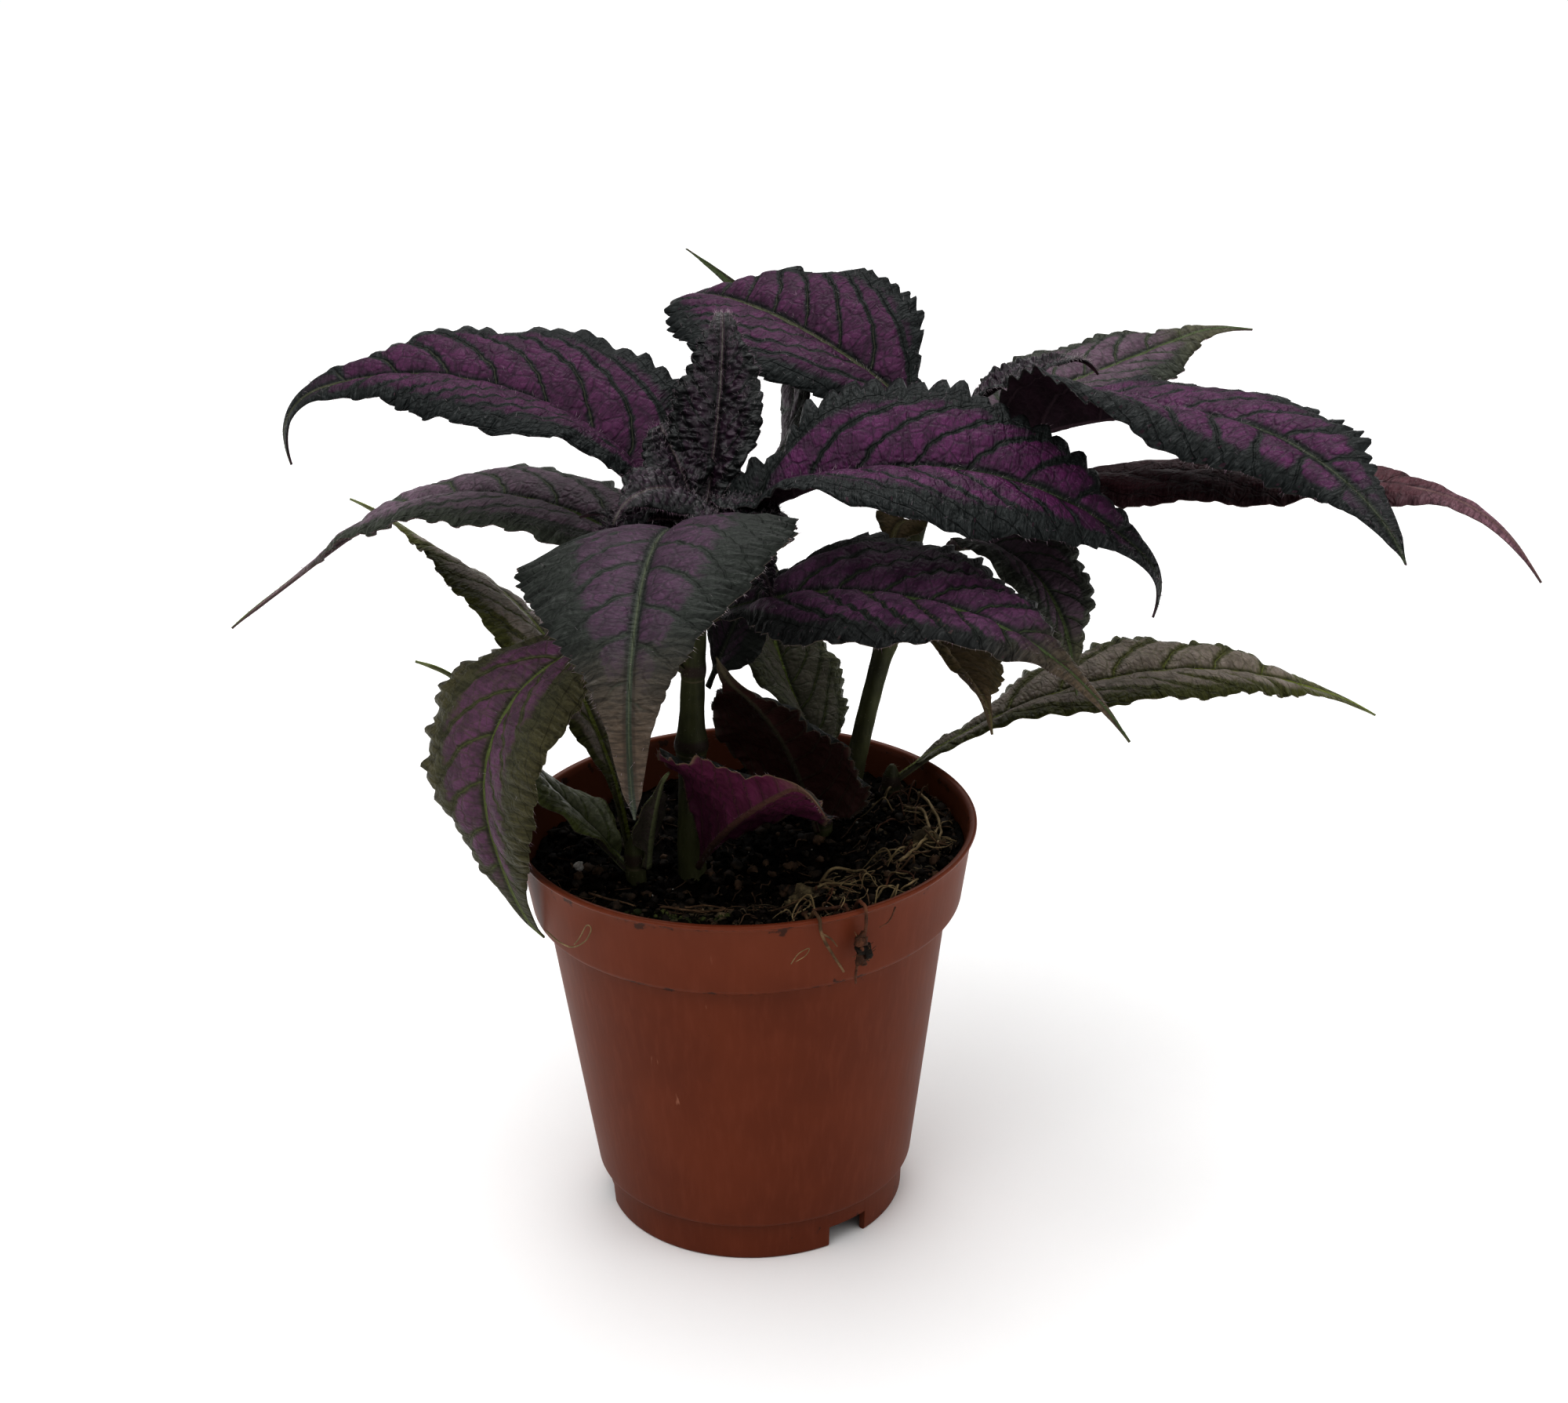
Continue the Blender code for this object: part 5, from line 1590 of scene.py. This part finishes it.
def grow_leaves():
    total = 0
    for number, name in enumerate([*LEAVES, *BUDS]):
        leaf = shape_leaf(name, 3.7 * number + 1.3)
        top, bottom = leaf_points(leaf)
        data = leaf_mesh(leaf, top, bottom)
        finishes = [UPPER[leaf.upper], UNDER[leaf.under]]
        node = name if name in LEAVES else None
        add_piece(name + "_fine", data, finishes, node)
        hairs_on_leaf(leaf, top, bottom)
        total += 2 * len(data.polygons)
    print("leaf triangles:", total, "hairs noted:", len(hair_notes["leaves"]))


grow_leaves()

# %% [markdown]
# ## Hairs as bodies
# Each note becomes a three-sided spike that leans a little to one side. They stay in two bodies,
# one for the leaves and one for the stems, so that either can be left out of a lighter copy.

# %% Spikes
def spikes(notes):
    base = np.array([note[0] for note in notes])
    along = np.array([note[1] for note in notes])
    along /= np.linalg.norm(along, axis=1)[:, None] + 1e-9
    length = np.array([note[2] for note in notes])[:, None]
    radius = np.array([note[3] for note in notes])[:, None]
    other = np.where(np.abs(along[:, 2:]) < 0.9, [[0, 0, 1.0]], [[1.0, 0, 0]])
    one = np.cross(along, other)
    one /= np.linalg.norm(one, axis=1)[:, None]
    two = np.cross(along, one)
    foot = base - along * 0.08
    corners = [foot + radius * (one * math.cos(a) + two * math.sin(a)) for a in (0, 2.094, 4.189)]
    tip = base + along * length + one * length * 0.12
    points = np.stack([*corners, tip], 1).reshape(-1, 3)
    pattern = np.array([(0, 2, 1), (0, 1, 3), (1, 2, 3), (2, 0, 3)])
    faces = (np.arange(len(notes))[:, None, None] * 4 + pattern[None]).reshape(-1, 3).tolist()
    return points, faces


def hair_finish(name, root, tip):
    finish, surface = new_finish(name, 0.5, 0.4)
    mottle = speckle(object_place(surface), 90, 2, 0.5)
    feed(surface.inputs["Base Color"], blend(smooth_step(mottle, 0.4, 0.6), root, tip))
    raise_by(surface, mottle, 0.2, 0.05)
    return finish


HAIR_LOOKS = {"leaves": ("purple_leaf", (0.26, 0.17, 0.22), (0.42, 0.36, 0.38)),
              "stems": ("stem_green", (0.22, 0.22, 0.13), (0.34, 0.32, 0.22))}
for kind, (slot, *colours) in HAIR_LOOKS.items():
    points, faces = spikes(hair_notes[kind])
    data = mesh_of("hairs_on_" + kind, points, faces)
    add_piece("hairs_on_" + kind, data, [hair_finish("hair_of_" + kind, *colours)], None)
    print("hairs on", kind, len(hair_notes[kind]), "triangles", len(faces))
